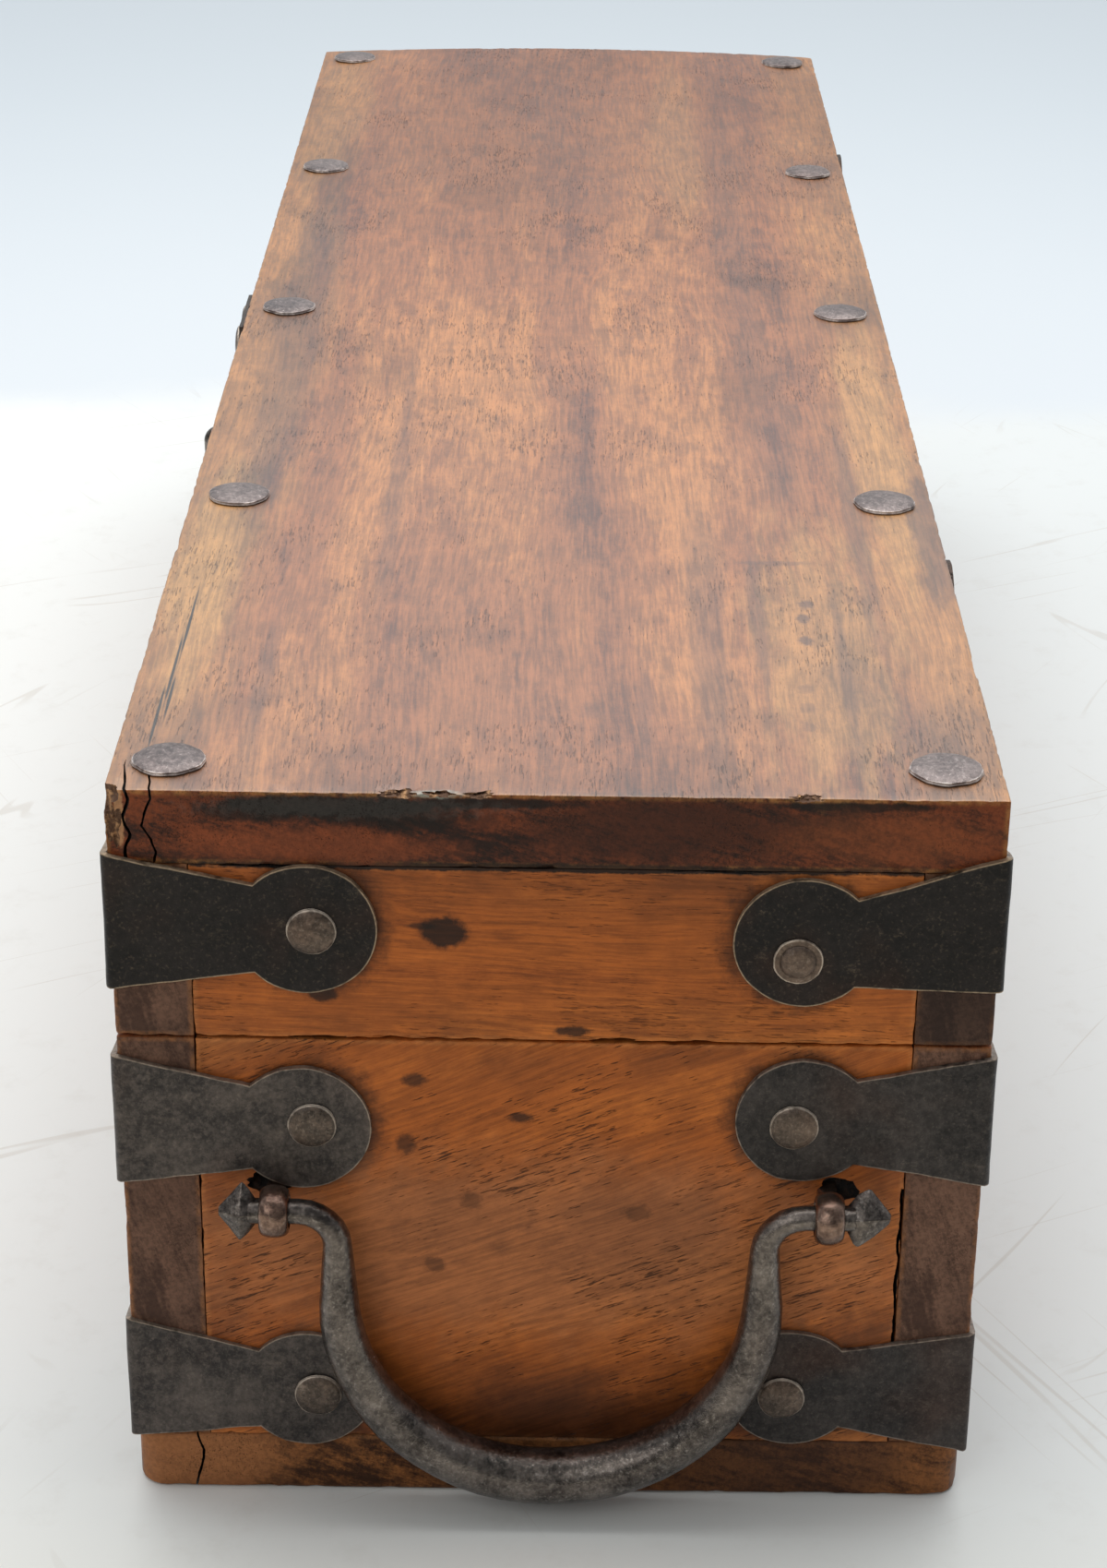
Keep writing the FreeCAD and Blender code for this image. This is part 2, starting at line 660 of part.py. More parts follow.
def make_end_board(name, end, z_low, rise, nails, with_eyes):
    """A board that closes an end, with its nail holes and eye slots."""
    x_low = f"({RIGHT_END} - end_board)" if end == "right" else LEFT_END
    low = (x_low, f"({FRONT_FACE} + side_board + joint_gap)", z_low)
    size = ("end_board", "(chest_width - 2 * side_board - 2 * joint_gap)", rise)
    body = board(name, low, size)
    drill(body, "nails", low, size, facing(nails, end), NAIL_HOLE, "nail_depth + nail_play")
    if with_eyes:
        slots = new_sketch(body, "eye_slots", "YZ_Plane", size[0])
        half = "(eye_shank / 2 + nail_play)"
        for spread in (minus("eye_spread"), "eye_spread"):
            y_mid = f"({spread} - {low[1]})"
            z_mid = f"({EYE_HEIGHT} - {low[2]})"
            draw_rectangle(slots, f"({y_mid} - {half})", f"({z_mid} - {half})",
                           f"({y_mid} + {half})", f"({z_mid} + {half})")
        pocket(body, slots, "end_board")


def make_lid_boards():
    """The lid: a low frame under a top board that covers it."""
    frame_size = ("chest_length", "side_board", LID_RISE)
    for side in ("front", "rear"):
        y_low = FRONT_FACE if side == "front" else f"({REAR_FACE} - side_board)"
        low = (LEFT_END, y_low, LID_BASE)
        body = board(f"lid_{side}_board", low, frame_size)
        nails = facing(LID_STRAP_NAILS, side)
        if side == "rear":
            nails = nails + LID_HINGE_NAILS
        drill(body, "nails", low, frame_size, nails, NAIL_HOLE, "nail_depth + nail_play")
        if side == "front":
            drill(body, "staple", low, frame_size, LOCK_LEGS, WIRE_HOLE, "wire_depth + nail_play")
        studs = [spot for spot in STUDS if (measure(spot[0][1]) < 0) == (side == "front")]
        drill(body, "studs", low, frame_size, studs, "stud_shank + nail_play",
              "stud_depth - top_board + nail_play")
    for end in ("right", "left"):
        make_end_board(f"lid_{end}_end", end, LID_BASE, LID_RISE, LID_STRAP_NAILS, False)
    low = (LEFT_END, FRONT_FACE, f"({LID_TOP} - top_board)")
    size = ("chest_length", "chest_width", "top_board")
    body = board("lid_top_board", low, size)
    drill(body, "studs", low, size, STUDS, "stud_shank + nail_play", "top_board")
    drill(body, "plate_nails", low, size, LOCK_PLATE_NAILS, NAIL_HOLE, "nail_depth + nail_play")


# --------------------------------------------------------------- the straps

def make_strap(level, end, side):
    """A strap bent round an upright corner, with a lobe on each face."""
    part = "lid" if level == "lid" else "case"
    word = "" if level == "lid" else f"_{level}"
    name = f"{part}{word}_strap_{side}_{end}"
    turns = {("right", "front"): 0, ("right", "rear"): 90,
             ("left", "rear"): 180, ("left", "front"): 270}
    corner_x = RIGHT_END if end == "right" else LEFT_END
    corner_y = FRONT_FACE if side == "front" else REAR_FACE
    foot = f"({strap_middle(level, end, side)} - strap_root / 2)"
    body = new_body(name, (corner_x, corner_y, foot), turns[(end, side)])
    droop = strap_size(level, end, side, "droop")
    slip = strap_size(level, end, side, "slip")
    lobe_height = f"(strap_root / 2 - {droop})"
    reach, nail = ("lid_strap_reach", "lid_nail_reach") if level == "lid" else (
        "strap_reach", "nail_reach")
    for plane, heading in (("YZ_Plane", "right"), ("XZ_Plane", "left")):
        leg = new_sketch(body, f"leg_{heading}", plane)
        draw_leg(leg, heading, "(-strap_gauge)", "0", "strap_root",
                 (reach, lobe_height), "lobe_radius", "strap_neck / 2")
        hole = headed(heading, nail, f"({lobe_height} - {slip})")
        draw_circle(leg, hole, NAIL_HOLE)
        pad(body, leg, "strap_gauge")

    def outer_corner(spot):
        return near(spot.x, "strap_gauge") and near(spot.y, "-strap_gauge")

    fillet(body, "bend", outer_corner, "strap_bend")


# --------------------------------------------------------------- the hinges

def make_hinge(end):
    """A hinge of two lobed leaves on a pin, at the rear of one end."""
    axis_place = (HINGES[end], f"({REAR_FACE} + {HINGE_OFFSET})", HINGE_HEIGHT)
    for leaf, heading in (("case", "down"), ("lid", "up")):
        body = new_body(f"{leaf}_hinge_leaf_{end}", axis_place)
        plate = new_sketch(body, "plate", "XZ_Plane", HINGE_OFFSET)
        draw_leg(plate, heading, "0", minus(HALF_BARREL), HALF_BARREL,
                 ("strap_reach", "0"), "lobe_radius", "strap_neck / 2")
        for reach in ("hinge_nail_near", "hinge_nail_far"):
            draw_circle(plate, headed(heading, reach, "0"), NAIL_HOLE)
        pad(body, plate, "hinge_gauge", backwards=True)
        roll = new_sketch(body, "roll", "YZ_Plane")
        draw_circle(roll, ("0", "0"), "knuckle_radius")
        pad(body, roll, f"2 * ({HALF_BARREL} - knuckle_gap)", midplane=True)
        if leaf == "case":
            space = new_sketch(body, "space", "YZ_Plane")
            draw_circle(space, ("0", "0"), "knuckle_notch")
            pocket(body, space, "knuckle_length + 2 * knuckle_gap", midplane=True)
        else:
            for side, lift in (("right", "knuckle_length / 2"), ("left", "(-knuckle_length / 2)")):
                space = new_sketch(body, f"space_{side}", "YZ_Plane", lift)
                draw_circle(space, ("0", "0"), "knuckle_notch")
                pocket(body, space, "knuckle_length + knuckle_gap", backwards=side == "right")
        bore = new_sketch(body, "bore", "YZ_Plane")
        draw_circle(bore, ("0", "0"), "pin_radius + pin_fit")
        pocket(body, bore, f"2 * ({HALF_BARREL} + knuckle_gap)", midplane=True)
    pin = new_body(f"hinge_pin_{end}", axis_place)
    shaft = new_sketch(pin, "shaft", "YZ_Plane")
    draw_circle(shaft, ("0", "0"), "pin_radius")
    pad(pin, shaft, f"2 * {HALF_BARREL}", midplane=True)
    for name, lift, backwards in (("peen_right", HALF_BARREL, False),
                                  ("peen_left", minus(HALF_BARREL), True)):
        peen = new_sketch(pin, name, "YZ_Plane", lift)
        draw_circle(peen, ("0", "0"), "pin_head")
        pad(pin, peen, "pin_peen", backwards=backwards)


# ----------------------------------------------------- the hasp and staples

def make_hasp():
    """The slotted hasp that hangs on its staple and swings up over the lock."""
    place = ("0", f"({FRONT_FACE} - hasp_offset)", HASP_HEIGHT)
    body = new_body("hasp", place)
    plate = new_sketch(body, "outline", "XZ_Plane")
    centre_z = minus("(hasp_slot_drop + slot_half_length)")
    centre = Vector(0, measure(centre_z), 0)
    radius = measure("hasp_half")
    corners = [
        ("hasp_half", centre_z), ("hasp_half", minus("hasp_shoulder_drop")),
        ("hasp_neck", minus("hasp_neck_drop")), ("hasp_neck", "0"),
        (minus("hasp_neck"), "0"), (minus("hasp_neck"), minus("hasp_neck_drop")),
        (minus("hasp_half"), minus("hasp_shoulder_drop")), (minus("hasp_half"), centre_z),
    ]
    spots = [Vector(measure(x), measure(y), 0) for x, y in corners]
    for index in range(len(spots) - 1):
        plate.addGeometry(Part.LineSegment(spots[index], spots[index + 1]), False)
    arc = plate.addGeometry(
        Part.ArcOfCircle(Part.Circle(centre, Z_AXIS, radius), math.pi, math.tau), False)
    for index in range(arc - 1):
        plate.addConstraint(Constraint("Coincident", index, 2, index + 1, 1))
    plate.addConstraint(Constraint("Coincident", arc - 1, 2, arc, 1))
    plate.addConstraint(Constraint("Coincident", arc, 2, 0, 1))
    for index in range(1, arc):
        pin_down(plate, index, 1, corners[index])
    pin_down(plate, arc, 3, ("0", centre_z))
    dimension(plate, "Radius", (arc,), "hasp_half")
    dimension(plate, "DistanceY", (-1, 1, arc, 1), centre_z)
    dimension(plate, "DistanceY", (-1, 1, arc, 2), centre_z)
    straight = "(slot_half_length - slot_half_width)"
    draw_slot(plate, f"(-hasp_slot_drop - {straight})", f"(-hasp_slot_drop + {straight})",
              "slot_half_width")
    pad(body, plate, "hasp_gauge", midplane=True)
    roll = new_sketch(body, "roll", "YZ_Plane")
    draw_circle(roll, ("0", "0"), "hasp_knuckle")
    pad(body, roll, "2 * hasp_neck", midplane=True)
    bore = new_sketch(body, "bore", "YZ_Plane")
    draw_circle(bore, ("0", "0"), "wire_radius + pin_fit")
    pocket(body, bore, "2 * hasp_neck", midplane=True)


def make_wire_staple(name, place, half_span, reach, turn):
    """A wire bent to a U: two legs driven into the wood, and a crown outside.

    The wire lies in the plane of X and Y before it turns about Y, with its
    crown at a distance reach in front of the wood.
    """
    half = measure(half_span)
    crown = -measure(reach)
    foot = measure("wire_depth")
    bend = measure("wire_bend")
    slant = bend * (1 - math.sqrt(0.5))
    edges = [
        Part.makeLine(Vector(-half, foot, 0), Vector(-half, crown + bend, 0)),
        Part.Arc(Vector(-half, crown + bend, 0), Vector(slant - half, crown + slant, 0),
                 Vector(bend - half, crown, 0)).toShape(),
        Part.makeLine(Vector(bend - half, crown, 0), Vector(half - bend, crown, 0)),
        Part.Arc(Vector(half - bend, crown, 0), Vector(half - slant, crown + slant, 0),
                 Vector(half, crown + bend, 0)).toShape(),
        Part.makeLine(Vector(half, crown + bend, 0), Vector(half, foot, 0)),
    ]
    circle = Part.Circle(Vector(-half, foot, 0), Y_AXIS, measure("wire_radius"))
    wire = Part.Wire(edges).makePipeShell([Part.Wire(circle.toShape())], True, True)
    staple = DOC.addObject("Part::Feature", name)
    staple.Shape = wire
    staple.Placement = Placement(point(place), Rotation(Y_AXIS, turn))
    return keep(staple, name)


def make_lock_plates():
    """Lobed plates under the two staples, and the staples themselves."""
    edge = f"({LID_TOP} - plate_margin)"
    lock = new_body("lock_plate", ("0", FRONT_FACE, edge))
    face = new_sketch(lock, "face", "XZ_Plane")
    lobe = f"({edge} - {LOCK_HEIGHT})"
    half_root = "(strap_root / 2)"
    draw_leg(face, "down", "0", minus(half_root), half_root, (lobe, "0"), "lock_lobe", "lock_neck")
    for shift in ("lock_half_span", minus("lock_half_span")):
        draw_circle(face, ("0", minus(f"{lobe} + {shift}")), WIRE_HOLE)
    for x in (minus("plate_nail_half"), "plate_nail_half"):
        draw_circle(face, (x, minus("plate_nail_drop")), NAIL_HOLE)
    pad(lock, face, "strap_gauge")

    rim = "(case_height - plate_margin)"
    hasp_plate = new_body("hasp_plate", ("0", FRONT_FACE, rim))
    face = new_sketch(hasp_plate, "face", "XZ_Plane")
    draw_leg(face, "down", "0", minus(half_root), half_root, ("strap_reach", "0"),
             "lobe_radius", "strap_neck / 2")
    for x in (minus(HASP_LEG), HASP_LEG):
        draw_circle(face, (x, f"({HASP_HEIGHT} - {rim})"), WIRE_HOLE)
    for x in (minus("plate_nail_half"), "plate_nail_half"):
        draw_circle(face, (x, minus("plate_nail_drop")), NAIL_HOLE)
    draw_circle(face, ("0", minus("strap_reach")), NAIL_HOLE)
    pad(hasp_plate, face, "strap_gauge")

    make_wire_staple("hasp_staple", ("0", FRONT_FACE, HASP_HEIGHT), HASP_LEG, "hasp_offset", 0)
    make_wire_staple("lock_staple", ("0", FRONT_FACE, LOCK_HEIGHT), "lock_half_span",
                     "lock_reach", 90)


# -------------------------------------------------------------- the handles

def make_eye(end, side):
    """An eye whose shank goes through the end board and is clinched inside."""
    out = "eye_stand" if end == "right" else minus("eye_stand")
    end_face = RIGHT_END if end == "right" else LEFT_END
    y = "eye_spread" if side == "rear" else minus("eye_spread")
    body = new_body(f"handle_eye_{side}_{end}", (f"({end_face} + {out})", y, EYE_HEIGHT),
                    0 if end == "right" else 180)
    ring = new_sketch(body, "ring", "XZ_Plane")
    draw_circle(ring, ("0", "0"), "eye_radius")
    draw_circle(ring, ("0", "0"), "eye_bore")
    pad(body, ring, "eye_width", midplane=True)

    def outer_rim(spot):
        return near(math.hypot(spot.x, spot.z), "eye_radius")

    fillet(body, "rounding", outer_rim, "eye_round")
    half = "(eye_shank / 2)"
    inner_face = "(-eye_stand - end_board)"
    start = "((eye_bore + eye_radius) / 2)"
    shank = new_sketch(body, "shank", "YZ_Plane", minus(start))
    draw_rectangle(shank, minus(half), minus(half), half, half)
    pad(body, shank, f"(-{inner_face} - {start})", backwards=True)
    clinch = new_sketch(body, "clinch", "YZ_Plane", inner_face)
    tall = f"({half} + clinch_length)"
    draw_rectangle(clinch, minus(half), minus(tall), half, tall)
    pad(body, clinch, "clinch_gauge", backwards=True)


def bail_station(group, name, y, z, tilt, radius):
    """Add one round section of the bail's bar, square to its path."""
    circle = DOC.addObject("Part::Circle", name)
    circle.setExpression("Radius", formula(radius))
    circle.Placement = Placement(Vector(), Rotation(X_AXIS, tilt))
    bind_place(circle, ("0", y, z))
    group.append(circle)


def bail_end_section(name, y, half_depth, half_height):
    """Draw one flat rhomb of a bail's flattened end, square to Y."""
    sketch = DOC.addObject("Sketcher::SketchObject", name)
    sketch.Placement = Placement(Vector(), Rotation(X_AXIS, 90))
    bind_place(sketch, ("0", y, "0"))
    draw_polygon(sketch, [(half_depth, "0"), ("0", half_height),
                          (minus(half_depth), "0"), ("0", minus(half_height))])
    return sketch


def make_bail(end):
    """The handle: a bar, thick in the grip, bent out through the two eyes."""
    prefix = f"bail_{end}"
    stations = []
    end_start = "(eye_spread + eye_width / 2 + bail_end_gap)"
    overlap = "(bail_end_widest / 2)"
    reach = f"({end_start} + {overlap})"
    bend_out = "(bail_half_width + bail_bend)"
    straight_mid = f"(({reach} + {bend_out}) / 2)"
    gain = "(bail_bend_radius - bail_neck_radius)"
    bend_radius = f"(bail_neck_radius + {gain} * %s / {QUARTER_TURN})"
    bail_station(stations, f"{prefix}_0", reach, "0", QUARTER_TURN, "bail_neck_radius")
    bail_station(stations, f"{prefix}_1", straight_mid, "0", QUARTER_TURN, "bail_neck_radius")
    for step in BEND_STEPS:
        y = f"({bend_out} - bail_bend * sin({step}))"
        z = f"(-bail_bend + bail_bend * cos({step}))"
        radius = bend_radius % step
        bail_station(stations, f"{prefix}_in_{step}", y, z, QUARTER_TURN + step, radius)
    bail_station(stations, f"{prefix}_arm_in", "bail_half_width",
                 "(-(bail_bend + bail_shoulder) / 2)", HALF_TURN,
                 "((bail_bend_radius + bail_shoulder_radius) / 2)")
    for step in range(0, HALF_TURN + 1, BOW_STEP):
        y = f"(bail_half_width * cos({step}))"
        z = f"(-bail_shoulder - bail_half_width * sin({step}))"
        radius = f"(bail_shoulder_radius + (bail_grip_radius - bail_shoulder_radius) * sin({step}))"
        bail_station(stations, f"{prefix}_bow_{step}", y, z, HALF_TURN - step, radius)
    bail_station(stations, f"{prefix}_arm_out", "(-bail_half_width)",
                 "(-(bail_bend + bail_shoulder) / 2)", 0,
                 "((bail_bend_radius + bail_shoulder_radius) / 2)")
    for step in reversed(BEND_STEPS):
        y = f"(-{bend_out} + bail_bend * sin({step}))"
        z = f"(-bail_bend + bail_bend * cos({step}))"
        radius = bend_radius % step
        bail_station(stations, f"{prefix}_out_{step}", y, z, QUARTER_TURN - step, radius)
    bail_station(stations, f"{prefix}_8", minus(straight_mid), "0", QUARTER_TURN,
                 "bail_neck_radius")
    bail_station(stations, f"{prefix}_9", minus(reach), "0", QUARTER_TURN, "bail_neck_radius")
    DOC.recompute()
    bar = DOC.addObject("Part::Loft", f"{prefix}_bar")
    bar.Sections = stations
    bar.Solid = True
    pieces = [bar]
    for side, sign in (("rear", ""), ("front", "-")):
        sections = []
        for index, (shift, half_depth, half_height) in enumerate((
                ("0", "bail_end_face", "bail_end_face"),
                ("bail_end_widest", "bail_end_half_depth", "bail_end_half_height"),
                ("bail_end_length", "bail_end_tip", "bail_end_tip"))):
            y = f"{sign}({end_start} + {shift})"
            sections.append(bail_end_section(f"{prefix}_{side}_{index}", y, half_depth, half_height))
        DOC.recompute()
        tip = DOC.addObject("Part::Loft", f"{prefix}_end_{side}")
        tip.Sections = sections
        tip.Solid = True
        tip.Ruled = True
        pieces.append(tip)
    DOC.recompute()
    bail = DOC.addObject("Part::MultiFuse", f"{end}_bail")
    bail.Shapes = pieces
    out = "eye_stand" if end == "right" else minus("eye_stand")
    end_face = RIGHT_END if end == "right" else LEFT_END
    bind_place(bail, (f"({end_face} + {out})", "0", EYE_HEIGHT))
    keep(bail, f"{end}_bail")


# ------------------------------------------------------- making and writing

def make_nails():
    """All nails, as groups of separate solids."""
    nail_group("case_strap_nails", STRAP_NAIL, CASE_STRAP_NAILS, "strap_gauge")
    nail_group("lid_strap_nails", STRAP_NAIL, LID_STRAP_NAILS, "strap_gauge")
    nail_group("case_hinge_nails", STRAP_NAIL, CASE_HINGE_NAILS, "hinge_gauge")
    nail_group("lid_hinge_nails", STRAP_NAIL, LID_HINGE_NAILS, "hinge_gauge")
    nail_group("hasp_plate_nails", STRAP_NAIL, HASP_PLATE_NAILS, "strap_gauge")
    nail_group("lock_plate_nails", STRAP_NAIL, LOCK_PLATE_NAILS, "strap_gauge")
    nail_group("lid_studs", STUD, STUDS)
    nail_group("bottom_nails", PEG, PEGS)


def check_document():
    """Stop if an object failed, or a sub-part's shape is missing or unsound."""
    DOC.recompute()
    faults = []
    for obj in DOC.Objects:
        if "Invalid" in obj.State or "Error" in obj.State:
            faults.append(f"{obj.Name}: {obj.State}")
    for part in SUB_PARTS:
        if part.Shape.isNull() or not part.Shape.isValid() or not part.Shape.Solids:
            faults.append(f"{part.Label}: no sound shape")
    if faults:
        raise RuntimeError("; ".join(faults))


def write_parts():
    """Write each sub-part to its own file."""
    os.makedirs("parts", exist_ok=True)
    for part in SUB_PARTS:
        part.Shape.exportStep(f"parts/{part.Label}.step")
        solids = len(part.Shape.Solids)
        print(f"{part.Label}: {solids} solid(s), {part.Shape.Volume / 1000:.1f} cm3")


make_bottom_board()
make_case_boards()
make_lid_boards()
for strap_end, strap_side in CORNERS:
    for strap_level in LEVELS:
        make_strap(strap_level, strap_end, strap_side)
    make_eye(strap_end, strap_side)
for hinge_end in HINGES:
    make_hinge(hinge_end)
make_hasp()
make_lock_plates()
for bail_end in ("right", "left"):
    make_bail(bail_end)
make_nails()
check_document()
write_parts()
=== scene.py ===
"""An old iron-bound box chest of hardwood boards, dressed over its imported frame.

Everything is in metres in the chest's own frame: X runs along the chest, Y
from its front to its rear, and Z up from the floor.
"""
import logging
import math
from dataclasses import dataclass, field, replace
from enum import Enum

import bmesh
import bpy
from mathutils import Matrix, Vector, noise


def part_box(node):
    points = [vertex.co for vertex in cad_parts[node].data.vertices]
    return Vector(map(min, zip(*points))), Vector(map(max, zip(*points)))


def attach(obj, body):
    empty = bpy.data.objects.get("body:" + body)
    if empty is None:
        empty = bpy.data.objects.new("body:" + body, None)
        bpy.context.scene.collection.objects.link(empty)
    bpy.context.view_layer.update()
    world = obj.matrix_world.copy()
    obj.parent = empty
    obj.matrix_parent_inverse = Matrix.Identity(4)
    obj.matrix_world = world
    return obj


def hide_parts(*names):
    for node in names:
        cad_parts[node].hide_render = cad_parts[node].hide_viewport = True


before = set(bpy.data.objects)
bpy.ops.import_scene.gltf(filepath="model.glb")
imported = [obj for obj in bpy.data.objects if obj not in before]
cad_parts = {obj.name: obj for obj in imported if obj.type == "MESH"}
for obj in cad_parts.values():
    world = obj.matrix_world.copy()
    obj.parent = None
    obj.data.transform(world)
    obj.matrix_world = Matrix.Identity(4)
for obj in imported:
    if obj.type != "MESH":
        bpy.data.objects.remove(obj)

log = logging.getLogger("chest")
Colour = tuple[float, float, float, float]
Triple = tuple[float, float, float]
Material = bpy.types.Material
Mesh = bmesh.types.BMesh
Point = bmesh.types.BMVert
Socket = bpy.types.NodeSocket

BOARD_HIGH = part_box("case_front_board")[1]
HALF_LENGTH = BOARD_HIGH.x
HALF_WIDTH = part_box("bottom_board")[1].y
LID_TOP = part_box("lid_top_board")[1].z
RIM = (BOARD_HIGH.z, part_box("lid_front_board")[0].z)
STUD_PITCH = 0.169
STUD_ROW = 0.087
STRAP_GAUGE = 0.0014
LEAF_GAUGE = 0.0018
AXIS_OUT = 0.009
AXIS_HEIGHT = 0.0855
WELD = 2e-6
SLIVER = 1e-6
TOUCH = 1e-4
ARRIS_ANGLE = math.radians(60)
# Material slots: faces, cut ends, old breaks in near black as painted shade in the hollows, and
# fresh breaks.
FACE, CUT_END, OLD_SHADED_BREAK, FRESH_BREAK = range(4)
BOARD_SLOTS = 4


class Named(Enum):
    """An option whose name is part of a node's name."""

    @property
    def word(self) -> str:
        """Give the option's name in small letters."""
        return self.name.lower()


class End(Named):
    """An end of the chest, with its sign along X."""

    RIGHT = 1
    LEFT = -1


class Side(Named):
    """A long side of the chest, with its sign along Y."""

    FRONT = -1
    REAR = 1


# ------------------------------------------------------------------ helpers

def tint(red: int, green: int, blue: int) -> Colour:
    """Turn a screen colour into the linear colour that a shader takes.

    Args:
        red, green, blue: The screen colour, each from 0 to 255.

    Returns:
        The linear colour with an alpha of one.
    """
    def linear(value: int) -> float:
        """Straighten one channel."""
        part = value / 255
        return part / 12.92 if part <= 0.04045 else ((part + 0.055) / 1.055) ** 2.4

    return linear(red), linear(green), linear(blue), 1.0


def ripple(place: Vector, scale: float, seed: float = 0.0) -> float:
    """Give a smooth random value from about -1 to 1 for a place."""
    return noise.noise(place * scale + Vector((seed, seed * 1.7, -seed)))


def crumple(place: Vector, scale: float, seed: float = 0.0) -> float:
    """Give a rougher random value, with finer detail laid on the coarse."""
    return noise.fractal(place * scale + Vector((-seed, seed, seed * 2.3)), 0.9, 2.1, 4)


def fade(value: float, full: float, gone: float) -> float:
    """Fall smoothly from one at full to zero at gone."""
    part = min(max((value - gone) / (full - gone), 0.0), 1.0)
    return part * part * (3 - 2 * part)


def modified(bm: Mesh, steps: list[tuple[str, dict]], slots: int = 1) -> Mesh:
    """Run a mesh through modifiers and give back the finished mesh.

    Args:
        bm: The mesh to work on; it is freed.
        steps: Each modifier's kind and settings, in order.
        slots: How many material slots the mesh's faces may point at.

    Returns:
        A new mesh with the modifiers' result.
    """
    piece = loose_object(bm, "work", slots)
    for kind, settings in steps:
        modifier = piece.modifiers.new(kind.lower(), kind)
        for key, value in settings.items():
            setattr(modifier, key, value)
    result = bmesh.new()
    result.from_object(piece, bpy.context.evaluated_depsgraph_get())
    discard(piece)
    return result


def loose_object(bm: Mesh, name: str, slots: int) -> bpy.types.Object:
    """Turn a mesh into an object that rides on nothing yet.

    Args:
        bm: The mesh; it is freed.
        name: The object's name.
        slots: How many empty material slots it gets.

    Returns:
        The object, linked to the scene.
    """
    mesh = bpy.data.meshes.new(name)
    bm.to_mesh(mesh)
    bm.free()
    for _ in range(slots):
        mesh.materials.append(None)
    piece = bpy.data.objects.new(name, mesh)
    bpy.context.scene.collection.objects.link(piece)
    return piece


def discard(piece: bpy.types.Object) -> None:
    """Remove an object and its mesh.

    Args:
        piece: The object.
    """
    mesh = piece.data
    bpy.data.objects.remove(piece)
    bpy.data.meshes.remove(mesh)


def join(bm: Mesh, part: Mesh) -> None:
    """Add a part's mesh to another, and free the part.

    Args:
        bm: The mesh that grows.
        part: The mesh that is added.
    """
    mesh = bpy.data.meshes.new("part")
    part.to_mesh(mesh)
    part.free()
    bm.from_mesh(mesh)
    bpy.data.meshes.remove(mesh)


def skin(bm: Mesh, rings: list[list[Point]]) -> None:
    """Bridge rings one after another, and close both ends.

    Args:
        bm: The mesh that holds the rings.
        rings: Each ring's points, in order.
    """
    loops = [list({edge for vert in ring for edge in vert.link_edges}) for ring in rings]
    for first, second in zip(loops, loops[1:]):
        bmesh.ops.bridge_loops(bm, edges=first + second)
    bmesh.ops.holes_fill(bm, edges=[edge for edge in bm.edges if edge.is_boundary], sides=0)


def beat(verts: list[Point], depth: float, least: float, scale: float, seed: float) -> None:
    """Press points inwards unevenly, as a hammer does.

    Args:
        verts: The points, with their normals up to date.
        depth: How far the hammer presses.
        least: The share of the depth that is pressed where the dents are level.
        scale: How close the dents lie.
        seed: What makes them differ from those of other pieces.
    """
    for vert in verts:
        vert.co -= vert.normal * max(0.0, depth * (least + crumple(vert.co, scale, seed)))


def settle(bm: Mesh) -> None:
    """Merge doubled points and turn every face outwards.

    Args:
        bm: The mesh.
    """
    bmesh.ops.remove_doubles(bm, verts=bm.verts, dist=WELD)
    bmesh.ops.recalc_face_normals(bm, faces=bm.faces)
    bm.normal_update()


def cut_grid(bm: Mesh, axis: int, step: float) -> None:
    """Cut a mesh into slices of about one step along an axis.

    Args:
        bm: The mesh.
        axis: The axis's number.
        step: The slices' usual thickness.
    """
    places = [vert.co[axis] for vert in bm.verts]
    low, high = min(places), max(places)
    count = max(1, round((high - low) / step))
    across = Vector([1.0 if i == axis else 0.0 for i in range(3)])
    for index in range(1, count):
        spot = across * (low + (high - low) * index / count)
        geometry = bm.verts[:] + bm.edges[:] + bm.faces[:]
        bmesh.ops.bisect_plane(bm, geom=geometry, dist=SLIVER, plane_co=spot, plane_no=across)


def add_box(bm: Mesh, low: Vector, high: Vector) -> list[Point]:
    """Add a rectangular block between two corners and give its points.

    Args:
        bm: The mesh to add to.
        low: The lowest corner.
        high: The highest corner.

    Returns:
        The block's points.
    """
    verts = bmesh.ops.create_cube(bm, size=1.0)["verts"]
    bmesh.ops.scale(bm, vec=high - low, verts=verts)
    bmesh.ops.translate(bm, vec=(low + high) / 2, verts=verts)
    return verts


def finished(bm: Mesh, name: str, body: str,
             materials: list[Material], stands_for: str, crease: float) -> None:
    """Make the last object of a piece: shaded, dressed and riding on its body.

    Args:
        bm: The mesh in its final place; it is freed.
        name: The piece's name.
        body: The body that it moves with.
        materials: What its faces' material numbers point at.
        stands_for: The frame's node that it replaces.
        crease: The angle in degrees above which an edge stays sharp.
    """
    settle(bm)
    for face in bm.faces:
        face.smooth = True
    for edge in bm.edges:
        if len(edge.link_faces) == 2 and edge.calc_face_angle(0.0) > math.radians(crease):
            edge.smooth = False
    count = len(bm.faces)
    piece = loose_object(bm, name, 0)
    for material in materials:
        piece.data.materials.append(material)
    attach(piece, body)
    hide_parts(stands_for)
    log.info("%s: %d faces on %s", name, count, body)


